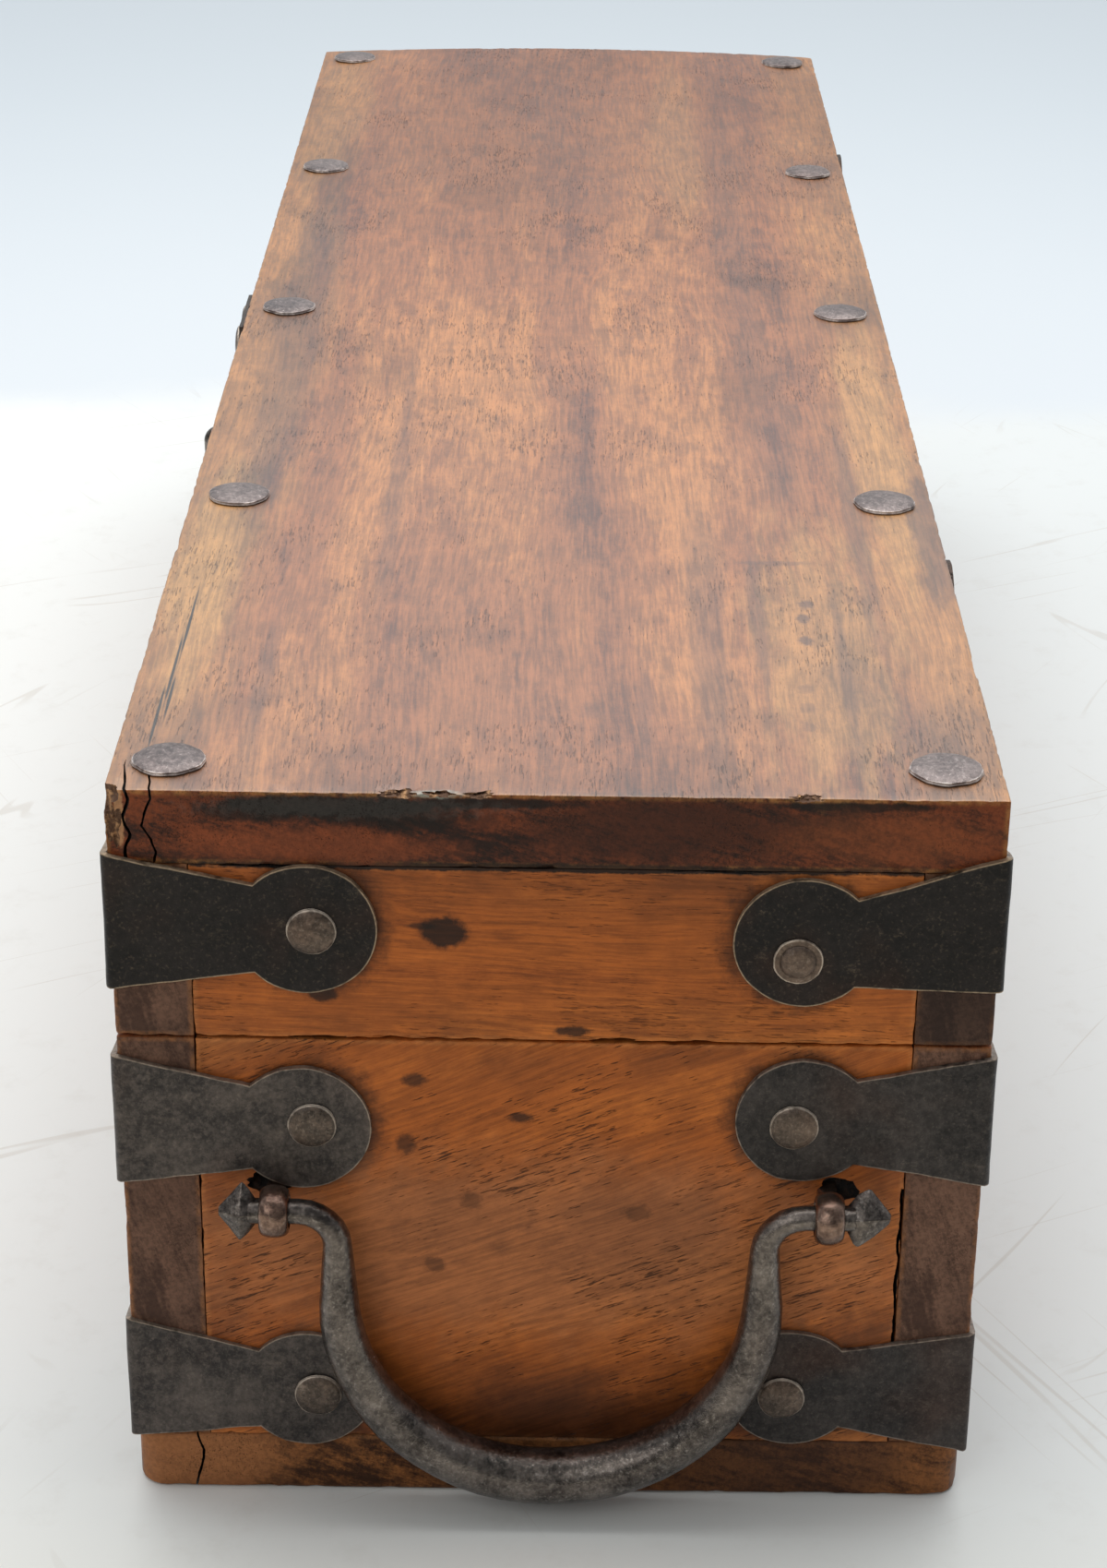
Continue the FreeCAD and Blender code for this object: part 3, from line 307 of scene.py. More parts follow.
class Shader:
    """A material under construction, with short calls for its nodes."""

    MIX_INPUTS = (6, 7)
    MIX_OUTPUT = 2

    def __init__(self, name: str) -> None:
        """Start a material with its surface and its object coordinates.

        Args:
            name: The material's name.
        """
        self.material = bpy.data.materials.new(name)
        self.material.use_nodes = True
        self.nodes = self.material.node_tree.nodes
        self.links = self.material.node_tree.links
        self.surface = self.nodes["Principled BSDF"]
        self.place = self.add("ShaderNodeTexCoord").outputs["Object"]

    def add(self, kind: str, **settings: object) -> bpy.types.Node:
        """Add a node of a kind with its settings.

        Args:
            kind: The node's type.
            settings: Its properties by name.

        Returns:
            The node.
        """
        node = self.nodes.new(kind)
        for key, value in settings.items():
            setattr(node, key, value)
        return node

    def feed(self, socket: Socket, value: object) -> None:
        """Link a socket to another socket, or give it a value.

        Args:
            socket: The input.
            value: Another socket or a plain value.
        """
        if isinstance(value, Socket):
            self.links.new(value, socket)
        else:
            socket.default_value = value

    def parts(self, place: object) -> list[Socket]:
        """Split a vector into its three numbers.

        Args:
            place: The vector.

        Returns:
            Its X, Y and Z.
        """
        node = self.add("ShaderNodeSeparateXYZ")
        self.feed(node.inputs[0], place)
        return list(node.outputs)

    def total(self, *terms: tuple[object, float], offset: float = 0.0) -> Socket:
        """Add up values, each times its own share.

        Args:
            terms: Each value with its share.
            offset: What the sum starts from.

        Returns:
            The sum.
        """
        result = offset
        for value, share in terms:
            node = self.add("ShaderNodeMath", operation="MULTIPLY_ADD")
            for index, item in enumerate((value, share, result)):
                self.feed(node.inputs[index], item)
            result = node.outputs[0]
        return result

    def math(self, kind: str, first: object, second: object = 0.0) -> Socket:
        """Work out one step of arithmetic.

        Args:
            kind: The operation.
            first, second: The two values.

        Returns:
            The result.
        """
        node = self.add("ShaderNodeMath", operation=kind)
        self.feed(node.inputs[0], first)
        self.feed(node.inputs[1], second)
        return node.outputs[0]

    def vector(self, kind: str, first: object, second: object) -> Socket:
        """Work out one step of vector arithmetic.

        Args:
            kind: The operation.
            first, second: The two vectors.

        Returns:
            The result.
        """
        node = self.add("ShaderNodeVectorMath", operation=kind)
        self.feed(node.inputs[0], first)
        self.feed(node.inputs[1], second)
        return node.outputs["Value" if kind == "LENGTH" else "Vector"]

    def noise(self, place: object, scale: Triple, detail: float = 3.0,
              rough: float = 0.55, colour: bool = False) -> Socket:
        """Give noise whose features are as long as one over the scale.

        Args:
            place: Where the noise is read.
            scale: How close its features lie along each axis.
            detail: How many finer layers it has.
            rough: How strong the finer layers are.
            colour: Whether it gives three numbers, not one.

        Returns:
            The noise.
        """
        node = self.add("ShaderNodeTexNoise")
        self.feed(node.inputs["Vector"], self.vector("MULTIPLY", place, scale))
        node.inputs["Scale"].default_value = 1.0
        node.inputs["Detail"].default_value = detail
        node.inputs["Roughness"].default_value = rough
        return node.outputs["Color" if colour else 0]

    def smooth(self, value: object, low: float, high: float,
               bottom: float = 0.0, top: float = 1.0) -> Socket:
        """Move a value smoothly from bottom to top between two limits.

        Args:
            value: The value that leads.
            low, high: The two limits.
            bottom, top: What comes out at each limit.

        Returns:
            The result.
        """
        node = self.add("ShaderNodeMapRange", interpolation_type="SMOOTHSTEP")
        for index, item in enumerate((value, low, high, bottom, top)):
            self.feed(node.inputs[index], item)
        return node.outputs[0]

    def blend(self, share: object, first: object, second: object,
              kind: str = "MIX") -> Socket:
        """Mix two colours.

        Args:
            share: How much of the second colour shows.
            first, second: The two colours.
            kind: The way they mix.

        Returns:
            The mixed colour.
        """
        node = self.add("ShaderNodeMix", data_type="RGBA", blend_type=kind)
        for index, item in zip((0, *self.MIX_INPUTS), (share, first, second)):
            self.feed(node.inputs[index], item)
        return node.outputs[self.MIX_OUTPUT]

    def give(self, name: str, value: object) -> None:
        """Link or set one of the surface's own sockets."""
        self.feed(self.surface.inputs[name], value)

    def turn(self, place: object, axis: str, angle: float) -> Socket:
        """Turn a place about an axis.

        Args:
            place: The place.
            axis: The axis's letter.
            angle: The turn in radians.

        Returns:
            The turned place.
        """
        node = self.add("ShaderNodeVectorRotate", rotation_type=f"{axis}_AXIS")
        self.feed(node.inputs["Vector"], place)
        node.inputs["Angle"].default_value = angle
        return node.outputs[0]

    def squares(self, first: object, second: object) -> Socket:
        """Add up the squares of two values."""
        return self.math("ADD", self.math("MULTIPLY", first, first),
                         self.math("MULTIPLY", second, second))

    def bump(self, height: object, depth: float) -> None:
        """Give the surface its relief.

        Args:
            height: The relief's height.
            depth: Its depth in metres.
        """
        node = self.add("ShaderNodeBump")
        node.inputs["Distance"].default_value = depth
        self.feed(node.inputs["Height"], height)
        self.give("Normal", node.outputs[0])


# ----------------------------------------------------------------- finishes

BLACK = tint(26, 17, 13)
PITCH = tint(12, 7, 5)
# Charred black for the burnt marks and dark joints, also used for the painted contact shadow round
# the strap lobes.
CHAR_AND_SHADOW = tint(24, 19, 17)
# Grey painted sheen laid over the char on the top board's end.
CHAR_SHEEN_GREY = tint(92, 88, 84)
DIRT = tint(46, 32, 28)
PORE = tint(44, 27, 20)
SMOKE = tint(74, 54, 52)
OCHRE = tint(190, 142, 84)
SPLINTER = tint(176, 132, 94)
UMBER = tint(92, 58, 42)
RUSSET = tint(138, 70, 38)
STUD_SHADOW = tint(64, 46, 44)
RUST = tint(92, 56, 36)


class Grain(Enum):
    """Which way a board's fibres, width and thickness lie, as axis numbers."""

    FLAT = (0, 1, 2)
    EDGEWISE = (0, 2, 1)
    CROSSWISE = (1, 2, 0)


@dataclass(frozen=True)
class Stain:
    """A ragged patch of another colour at one place on a board."""

    centre: Triple
    reach: Triple
    colour: Colour
    strength: float = 0.8
    ragged: float = 0.7
    scale: float = 90.0
    stretch: float = 1.0
    soft: float = 0.8

    def lay(self, shader: Shader, colour: object) -> Socket:
        """Lay the patch over a colour.

        Args:
            shader: The material to add to.
            colour: The colour socket under the patch.

        Returns:
            The colour socket with the patch.
        """
        offset = shader.vector("SUBTRACT", shader.place, self.centre)
        away = shader.vector("LENGTH", shader.vector("DIVIDE", offset, self.reach), (0, 0, 0))
        grain = (self.scale / self.stretch, self.scale, self.scale)
        torn = shader.noise(shader.place, grain, 5.0, 0.7)
        away = shader.math("ADD", away, shader.math("MULTIPLY", torn, self.ragged * 2))
        start = 1.0 + self.ragged
        mask = shader.smooth(away, start + 0.4 * self.soft, start - 0.6 * self.soft, 0.0,
                             self.strength)
        return shader.blend(mask, colour, self.colour)


@dataclass(frozen=True)
class WoodFinish:
    """Old oiled hardwood: its colours, its growth rings and its dirt."""

    name: str
    grain: Grain
    dark: Colour
    middle: Colour
    light: Colour
    sap: Colour
    end_dark: Colour
    end_light: Colour
    pith: tuple[float, float] = (0.01, -0.05)
    ring: float = 0.006
    slope: float = 0.02
    figure: float = 0.12
    lean: float = 0.0
    sap_start: float = 0.8
    sap_strength: float = 0.6
    dirt: float = 0.35
    gloss: float = 0.42
    pores: float = 0.5
    shine: float = 0.5
    contrast: float = 0.3
    streaks: float = 0.5
    haze: float = 0.0

    def coordinates(self, shader: Shader, low: Vector, high: Vector) -> Socket:
        """Give coordinates from the board's middle: along, across, through.

        Args:
            shader: The material to add to.
            low, high: The board's lowest and highest corner.

        Returns:
            The coordinates.
        """
        centred = shader.vector("SUBTRACT", shader.place, tuple((low + high) / 2))
        joined = shader.add("ShaderNodeCombineXYZ")
        parts = shader.parts(centred)
        for index, axis in enumerate(self.grain.value):
            shader.feed(joined.inputs[index], parts[axis])
        return shader.turn(joined.outputs[0], "Z", self.lean)

    def wander(self, shader: Shader, place: object) -> Socket:
        """Let the fibres wander a little from their straight run.

        Args:
            shader: The material to add to.
            place: The board's own coordinates.

        Returns:
            The coordinates along the fibres.
        """
        drift = shader.noise(place, (5.0, 16.0, 16.0), 2.0, 0.5, colour=True)
        drift = shader.vector("SUBTRACT", drift, (0.5, 0.5, 0.5))
        return shader.vector("ADD", place, shader.vector("MULTIPLY", drift, (0.0, 0.016, 0.016)))

    def rings(self, shader: Shader, place: object) -> Socket:
        """Give the growth rings as a value from 0 to 1.

        Args:
            shader: The material to add to.
            place: The board's own coordinates.

        Returns:
            The rings.
        """
        along, across, through = shader.parts(place)
        lean = shader.math("MULTIPLY", shader.math("MULTIPLY", along, along), self.slope)
        aside = shader.math("SUBTRACT", across, self.pith[0])
        under = shader.math("SUBTRACT", shader.math("SUBTRACT", through, self.pith[1]), lean)
        away = shader.math("SQRT", shader.squares(aside, under))
        away = shader.math("DIVIDE", away, self.ring)
        jitter = shader.noise(place, (4.0, 45.0, 45.0), 3.0, 0.6)
        away = shader.math("ADD", away, shader.math("MULTIPLY", jitter, 1.6))
        wave = shader.math("PINGPONG", away, 1.0)
        return shader.smooth(wave, 0.0, 1.0)

    def edge_distance(self, shader: Shader, low: Vector, high: Vector) -> Socket:
        """Give the distance from a point of the surface to the nearest arris.

        Args:
            shader: The material to add to.
            low, high: The board's lowest and highest corner.

        Returns:
            The distance.
        """
        centred = shader.vector("SUBTRACT", shader.place, tuple((low + high) / 2))
        inset = shader.vector("SUBTRACT", tuple((high - low) / 2),
                              shader.vector("ABSOLUTE", centred, (0, 0, 0)))
        first, second, third = shader.parts(inset)
        lesser = shader.math("MINIMUM", first, second)
        greater = shader.math("MAXIMUM", first, second)
        return shader.math("MAXIMUM", lesser, shader.math("MINIMUM", greater, third))

    def face_colour(self, shader: Shader, place: object, width: float
                    ) -> tuple[Socket, Socket]:
        """Colour the long faces.

        Args:
            shader: The material to add to.
            place: The board's own coordinates.
            width: The board's width across its fibres.

        Returns:
            The colour and the fine relief.
        """
        fibres = self.wander(shader, place)
        broad = shader.noise(fibres, (3.5, 24.0, 24.0), 4.0, 0.6)
        streak = shader.noise(fibres, (8.0, 110.0, 110.0), 5.0, 0.7)
        fine = shader.noise(fibres, (50.0, 900.0, 900.0), 4.0, 0.75)
        mottle = shader.noise(place, (70.0, 110.0, 110.0), 6.0, 0.75)
        shares = ((broad, 1.0), (streak, self.streaks), (fine, 0.25), (mottle, 0.35),
                  (self.rings(shader, fibres), self.figure))
        tone = shader.total(*shares)
        middle = sum(share for _, share in shares) / 2
        colour = shader.blend(shader.smooth(tone, middle - 0.3, middle), self.dark, self.middle)
        colour = shader.blend(shader.smooth(tone, middle, middle + 0.3), colour, self.light)
        aside = shader.math("ABSOLUTE", shader.parts(place)[1])
        aside = shader.math("DIVIDE", aside, width / 2)
        aside = shader.total((aside, 1.0), (broad, 0.5), (streak, 0.35))
        sap = shader.smooth(aside, self.sap_start + 0.36, self.sap_start + 0.6, 0.0,
                            self.sap_strength)
        relief = shader.total((fine, 0.65), (mottle, 0.35))
        return shader.blend(sap, colour, self.sap), relief

    def end_colour(self, shader: Shader, place: object
                   ) -> tuple[Socket, Socket]:
        """Colour the cut ends, where the rings show as slanting streaks.

        Args:
            shader: The material to add to.
            place: The board's own coordinates.

        Returns:
            The colour and the fine relief.
        """
        slant = shader.turn(place, "X", 0.3)
        broad = shader.noise(slant, (10.0, 22.0, 90.0), 5.0, 0.7)
        streak = shader.noise(slant, (10.0, 110.0, 520.0), 5.0, 0.75)
        fine = shader.noise(place, (900.0, 900.0, 900.0), 3.0, 0.7)
        tone = shader.total((broad, 1.0), (streak, 0.7), (fine, 0.3))
        return (shader.blend(shader.smooth(tone, 0.84, 1.16), self.end_dark, self.end_light),
                fine)

    def pore_mask(self, shader: Shader, place: object) -> Socket:
        """Scatter short dark pores along the fibres, in loose groups.

        Args:
            shader: The material to add to.
            place: The board's own coordinates.

        Returns:
            How much of a pore shows.
        """
        dash = shader.noise(place, (230.0, 2300.0, 2300.0), 2.0, 0.6)
        crowd = shader.noise(place, (26.0, 40.0, 40.0), 4.0, 0.7)
        limit = shader.smooth(crowd, 0.38, 0.66, 0.74, 0.55)
        over = shader.math("SUBTRACT", dash, limit)
        return shader.smooth(over, 0.0, 0.1, 0.0, self.pores)

    def material(self, name: str, low: Vector, high: Vector, stains: tuple[Stain, ...],
                 end: bool, studs: bool) -> Material:
        """Make the material of a board's long faces or of its cut ends.

        Args:
            name: The material's name.
            low: The board's lowest corner.
            high: The board's highest corner.
            stains: The patches on this board.
            end: Whether this is for the cut ends.
            studs: Whether iron studs have stained the wood.

        Returns:
            The material.
        """
        shader = Shader(name)
        place = self.coordinates(shader, low, high)
        across = self.grain.value[1]
        if end:
            colour, fine = self.end_colour(shader, place)
        else:
            colour, fine = self.face_colour(shader, place, high[across] - low[across])
        cloud = shader.noise(shader.place, (11.0, 17.0, 17.0), 5.0, 0.65)
        arris = self.edge_distance(shader, low, high)
        grime = shader.math("MULTIPLY", shader.smooth(arris, 0.02, 0.0005),
                            shader.smooth(cloud, 0.38, 0.66))
        smudge = shader.smooth(cloud, 0.55, 0.72, 0.0, 0.8)
        dirt = shader.math("MULTIPLY", shader.math("MAXIMUM", grime, smudge), self.dirt)
        colour = shader.blend(dirt, colour, DIRT)
        if studs:
            colour = self.stud_halo(shader, colour)
        # Pale line along the arrises: worn wood, partly a painted highlight off the rounded edges.
        nick = shader.noise(shader.place, (320.0,) * 3, 4.0, 0.7)
        worn = shader.math("MULTIPLY", shader.smooth(arris, 0.0016, 0.0005),
                           shader.smooth(nick, 0.34, 0.62, 0.05, 0.5))
        colour = shader.blend(worn, colour, self.sap)
        for stain in stains:
            colour = stain.lay(shader, colour)
        pores = self.pore_mask(shader, place)
        colour = shader.blend(pores, colour, PORE)
        contrast = self.contrast * (0.4 if end else 1.0)
        shade = shader.smooth(fine, 0.36, 0.64, 1 - contrast, 1 + contrast)
        colour = shader.blend(1.0, colour, shade, "MULTIPLY")
        shader.give("Base Color", colour)
        rough = shader.total((cloud, 0.22), (pores, 0.2), (fine, 0.3), offset=self.gloss - 0.24)
        shader.give("Roughness", rough)
        shader.give("Specular IOR Level", self.shine * 0.4 if end else self.shine)
        if self.haze and not end:
            away = shader.smooth(shader.parts(shader.place)[0], -0.3, 0.33,
                                 self.haze * 0.4, self.haze * 1.7)
            shader.give("Coat Weight", away)
            shader.give("Coat Roughness", 0.42)
        height = shader.total((fine, 0.5), (pores, -1.0), (nick, 0.4))
        shader.bump(height, 0.00022)
        return shader.material

    def stud_halo(self, shader: Shader, colour: object) -> Socket:
        """Darken the wood along the fibres near each stud.

        Args:
            shader: The material to add to.
            colour: The colour under the halo.

        Returns:
            The colour with the halo.
        """
        along, across, _ = shader.parts(shader.place)
        along = shader.math("ADD", along, STUD_PITCH * 2.5)
        along = shader.math("SUBTRACT", shader.math("FLOORED_MODULO", along, STUD_PITCH),
                            STUD_PITCH / 2)
        along = shader.math("MULTIPLY", along, 0.35)
        aside = shader.math("SUBTRACT", shader.math("ABSOLUTE", across), STUD_ROW)
        square = shader.squares(along, aside)
        torn = shader.noise(shader.place, (28.0, 120.0, 60.0), 4.0, 0.65)
        away = shader.math("ADD", shader.math("SQRT", square),
                           shader.math("MULTIPLY", torn, 0.024))
        mask = shader.smooth(away, 0.026, 0.013, 0.0, 0.5)
        return shader.blend(mask, colour, STUD_SHADOW)


@dataclass(frozen=True)
class IronFinish:
    """Blackened wrought iron with a patina, specks and worn rims, whose pale line is partly a
    painted highlight.
    """

    name: str
    black: Colour
    brown: Colour
    pale: Colour
    rust: float = 0.2
    gloss: float = 0.45
    metal: float = 0.6
    speck: float = 0.35
    pitting: float = 0.00025

    def material(self) -> Material:
        """Make the material, once for all pieces.

        Returns:
            The material.
        """
        known = bpy.data.materials.get(self.name)
        if known:
            return known
        shader = Shader(self.name)
        cloud = shader.noise(shader.place, (60.0,) * 3, 6.0, 0.7)
        grit = shader.noise(shader.place, (600.0,) * 3, 5.0, 0.75)
        spots = shader.noise(shader.place, (1300.0,) * 3, 2.0, 0.5)
        fog = shader.noise(shader.place, (17.0,) * 3, 3.0, 0.6)
        colour = shader.blend(shader.smooth(cloud, 0.36, 0.68), self.black, self.brown)
        colour = shader.blend(shader.smooth(grit, 0.35, 0.7, 0.0, 0.5), colour, self.brown)
        rust = shader.smooth(fog, 0.5, 0.68, 0.0, self.rust)
        colour = shader.blend(rust, colour, RUST)
        speck = shader.smooth(spots, 0.56, 0.72, 0.0, self.speck)
        colour = shader.blend(speck, colour, self.pale)
        smear = shader.noise(shader.place, (110.0, 70.0, 150.0), 6.0, 0.85)
        colour = shader.blend(shader.smooth(smear, 0.56, 0.7, 0.0, 0.16), colour, self.pale)
        # Pale rim line: worn edge, partly a painted highlight where the bevels catch the light.
        rim = shader.add("ShaderNodeAttribute", attribute_name="wear").outputs["Fac"]
        patchy = shader.smooth(shader.noise(shader.place, (150.0,) * 3, 3.0, 0.6), 0.28, 0.5)
        worn = shader.math("MULTIPLY", shader.smooth(rim, 0.66, 0.95), patchy)
        colour = shader.blend(shader.math("MULTIPLY", worn, 0.9), colour, self.pale)
        shade = shader.smooth(grit, 0.34, 0.66, 0.75, 1.25)
        colour = shader.blend(1.0, colour, shade, "MULTIPLY")
        shader.give("Base Color", colour)
        shader.give("Metallic", self.metal)
        rough = shader.total((grit, 0.24), (cloud, 0.3), offset=self.gloss - 0.27)
        rough = shader.math("ADD", rough, shader.math("MULTIPLY", rust, 0.3))
        shader.give("Roughness", rough)
        height = shader.math("ADD", shader.math("MULTIPLY", grit, 0.7),
                             shader.math("MULTIPLY", cloud, 1.4))
        shader.bump(height, self.pitting)
        return shader.material


TOP_WOOD = WoodFinish(
    "top_wood", Grain.FLAT, tint(100, 58, 42), tint(148, 92, 57), tint(176, 116, 68),
    tint(178, 126, 70), tint(36, 20, 15), tint(126, 62, 32),
    pith=(-0.012, -0.068), ring=0.02, slope=0.16, figure=0.28, sap_start=0.74, sap_strength=0.5,
    dirt=0.45, gloss=0.42, pores=0.55, contrast=0.32, streaks=0.5, haze=0.45)
END_WOOD = WoodFinish(
    "end_wood", Grain.CROSSWISE, tint(124, 60, 24), tint(170, 92, 36), tint(194, 112, 46),
    tint(196, 124, 66), tint(80, 45, 30), tint(120, 70, 42),
    pith=(-0.07, 0.02), ring=0.012, slope=0.5, figure=0.1, lean=0.03, sap_start=1.3,
    dirt=0.5, gloss=0.5, pores=0.5, shine=0.25, contrast=0.26, streaks=0.35)
CASE_END_WOOD = replace(END_WOOD, name="case_end_wood", lean=-0.38, pores=0.78, streaks=0.22,
                        figure=0.06)
SIDE_WOOD = WoodFinish(
    "side_wood", Grain.EDGEWISE, tint(104, 56, 34), tint(142, 82, 48), tint(172, 108, 66),
    tint(164, 108, 64), tint(80, 57, 47), tint(120, 89, 73),
    pith=(0.02, -0.05), ring=0.012, slope=0.06, figure=0.15, sap_start=1.0, dirt=0.5,
    gloss=0.48, pores=0.4, shine=0.35, contrast=0.3)
BASE_WOOD = WoodFinish(
    "base_wood", Grain.FLAT, tint(84, 50, 32), tint(112, 70, 44), tint(134, 88, 56),
    tint(130, 92, 62), tint(64, 40, 26), tint(150, 96, 54),
    pith=(-0.02, -0.06), ring=0.011, slope=0.05, figure=0.15, sap_start=1.2, dirt=0.6,
    gloss=0.55, pores=0.5, shine=0.35)

LID_IRON = IronFinish("lid_strap_finish", tint(16, 15, 16), tint(36, 32, 31),
                      tint(166, 146, 122), rust=0.25, gloss=0.44, speck=0.08)
# One iron in two copies: the front case straps, on the side the lamps light more, are painted
# lighter as painted light; the rear ones are painted darker as painted shade.
LIT_CASE_IRON = IronFinish("case_strap_finish", tint(45, 42, 42), tint(92, 84, 79),
                       tint(152, 138, 124), rust=0.25, gloss=0.42, speck=0.12)
SHADED_CASE_IRON = IronFinish("dark_strap_finish", tint(30, 29, 30), tint(66, 61, 59),
                       tint(144, 130, 118), rust=0.25, gloss=0.44, speck=0.1)
FITTING_IRON = IronFinish("fitting_finish", tint(36, 33, 32), tint(74, 64, 57),
                          tint(150, 136, 120), rust=0.35, gloss=0.44, speck=0.06)
NAIL_IRON = IronFinish("nail_finish", tint(66, 58, 52), tint(114, 98, 86),
                       tint(190, 176, 162), rust=0.3, gloss=0.34, speck=0.15)
# Studs: lighter and greyer than the nails, partly a painted sheen from light at a grazing angle.
SHEENED_STUD_IRON = IronFinish("stud_finish", tint(84, 76, 76), tint(132, 120, 117),
                       tint(206, 196, 190), rust=0.15, gloss=0.38, metal=0.5, speck=0.25)
HANDLE_IRON = IronFinish("handle_finish", tint(54, 50, 48), tint(120, 112, 106),
                         tint(222, 214, 206), rust=0.08, gloss=0.2, metal=0.82, speck=0.15,
                         pitting=0.0002)
EYE_IRON = IronFinish("eye_finish", tint(84, 64, 56), tint(144, 120, 106), tint(220, 206, 194),
                      rust=0.25, gloss=0.2, metal=0.85, speck=0.1, pitting=0.00014)


# ------------------------------------------------------------------- boards

@dataclass(frozen=True)
class Crack:
    """A crack right through one region of a board, as a thin crooked blade."""

    low: Triple
    high: Triple
    start: float
    drift: float
    bends: tuple[float, ...]
    width: float
    seed: float
    slices: tuple[float, float] = (0.003, 0.0011)
    waver: float = 0.0007
    least: float = 0.00004

    def cutter(self) -> Mesh:
        """Make the blade that cuts it, widest at high X and closing to low X.

        Returns:
            The blade.
        """
        bm = bmesh.new()
        low, high = Vector(self.low), Vector(self.high)
        add_box(bm, low, high)
        for axis, step in zip((0, 2), self.slices):
            cut_grid(bm, axis, step)
        middle = (low.y + high.y) / 2
        for vert in bm.verts:
            side = 1.0 if vert.co.y > middle else -1.0
            back = (high.x - vert.co.x) / (high.x - low.x)
            down = (high.z - vert.co.z) / (high.z - low.z) * (len(self.bends) - 1)
            index = min(int(down), len(self.bends) - 2)
            part = down - index
            bend = self.bends[index] * (1 - part) + self.bends[index + 1] * part
            flat = Vector((vert.co.x, 0.0, vert.co.z))
            waver = self.waver * crumple(flat, 160.0, self.seed)
            open_by = self.width * max(1 - back, 0.0) ** 0.6
            open_by *= 1 + 0.5 * ripple(flat, 500.0, self.seed)
            vert.co.y = (self.start + self.drift * back + bend * (1 - back) + waver
                         + side * max(open_by, self.least))
        for face in bm.faces:
            face.material_index = OLD_SHADED_BREAK
        settle(bm)
        return bm


@dataclass(frozen=True)
class Chip:
    """A broken-out hollow, as a lump that is cut away."""

    centre: Triple
    reach: Triple
    seed: float
    rough: float = 0.35
    fresh: bool = False

    def cutter(self) -> Mesh:
        """Make the lump.

        Returns:
            The lump.
        """
        bm = bmesh.new()
        bmesh.ops.create_icosphere(bm, subdivisions=4, radius=1.0)
        for vert in bm.verts:
            vert.co *= 1 + self.rough * crumple(vert.co, 1.8, self.seed)
        bmesh.ops.scale(bm, vec=self.reach, verts=bm.verts)
        bmesh.ops.translate(bm, vec=self.centre, verts=bm.verts)
        for face in bm.faces:
            face.material_index = FRESH_BREAK if self.fresh else OLD_SHADED_BREAK
        settle(bm)
        return bm


class Lie(Enum):
    """Where a face of a board lies."""

    OUTER = "on the outside of the chest"
    RIM = "on the rim between case and lid"
    JOINT = "against another board"


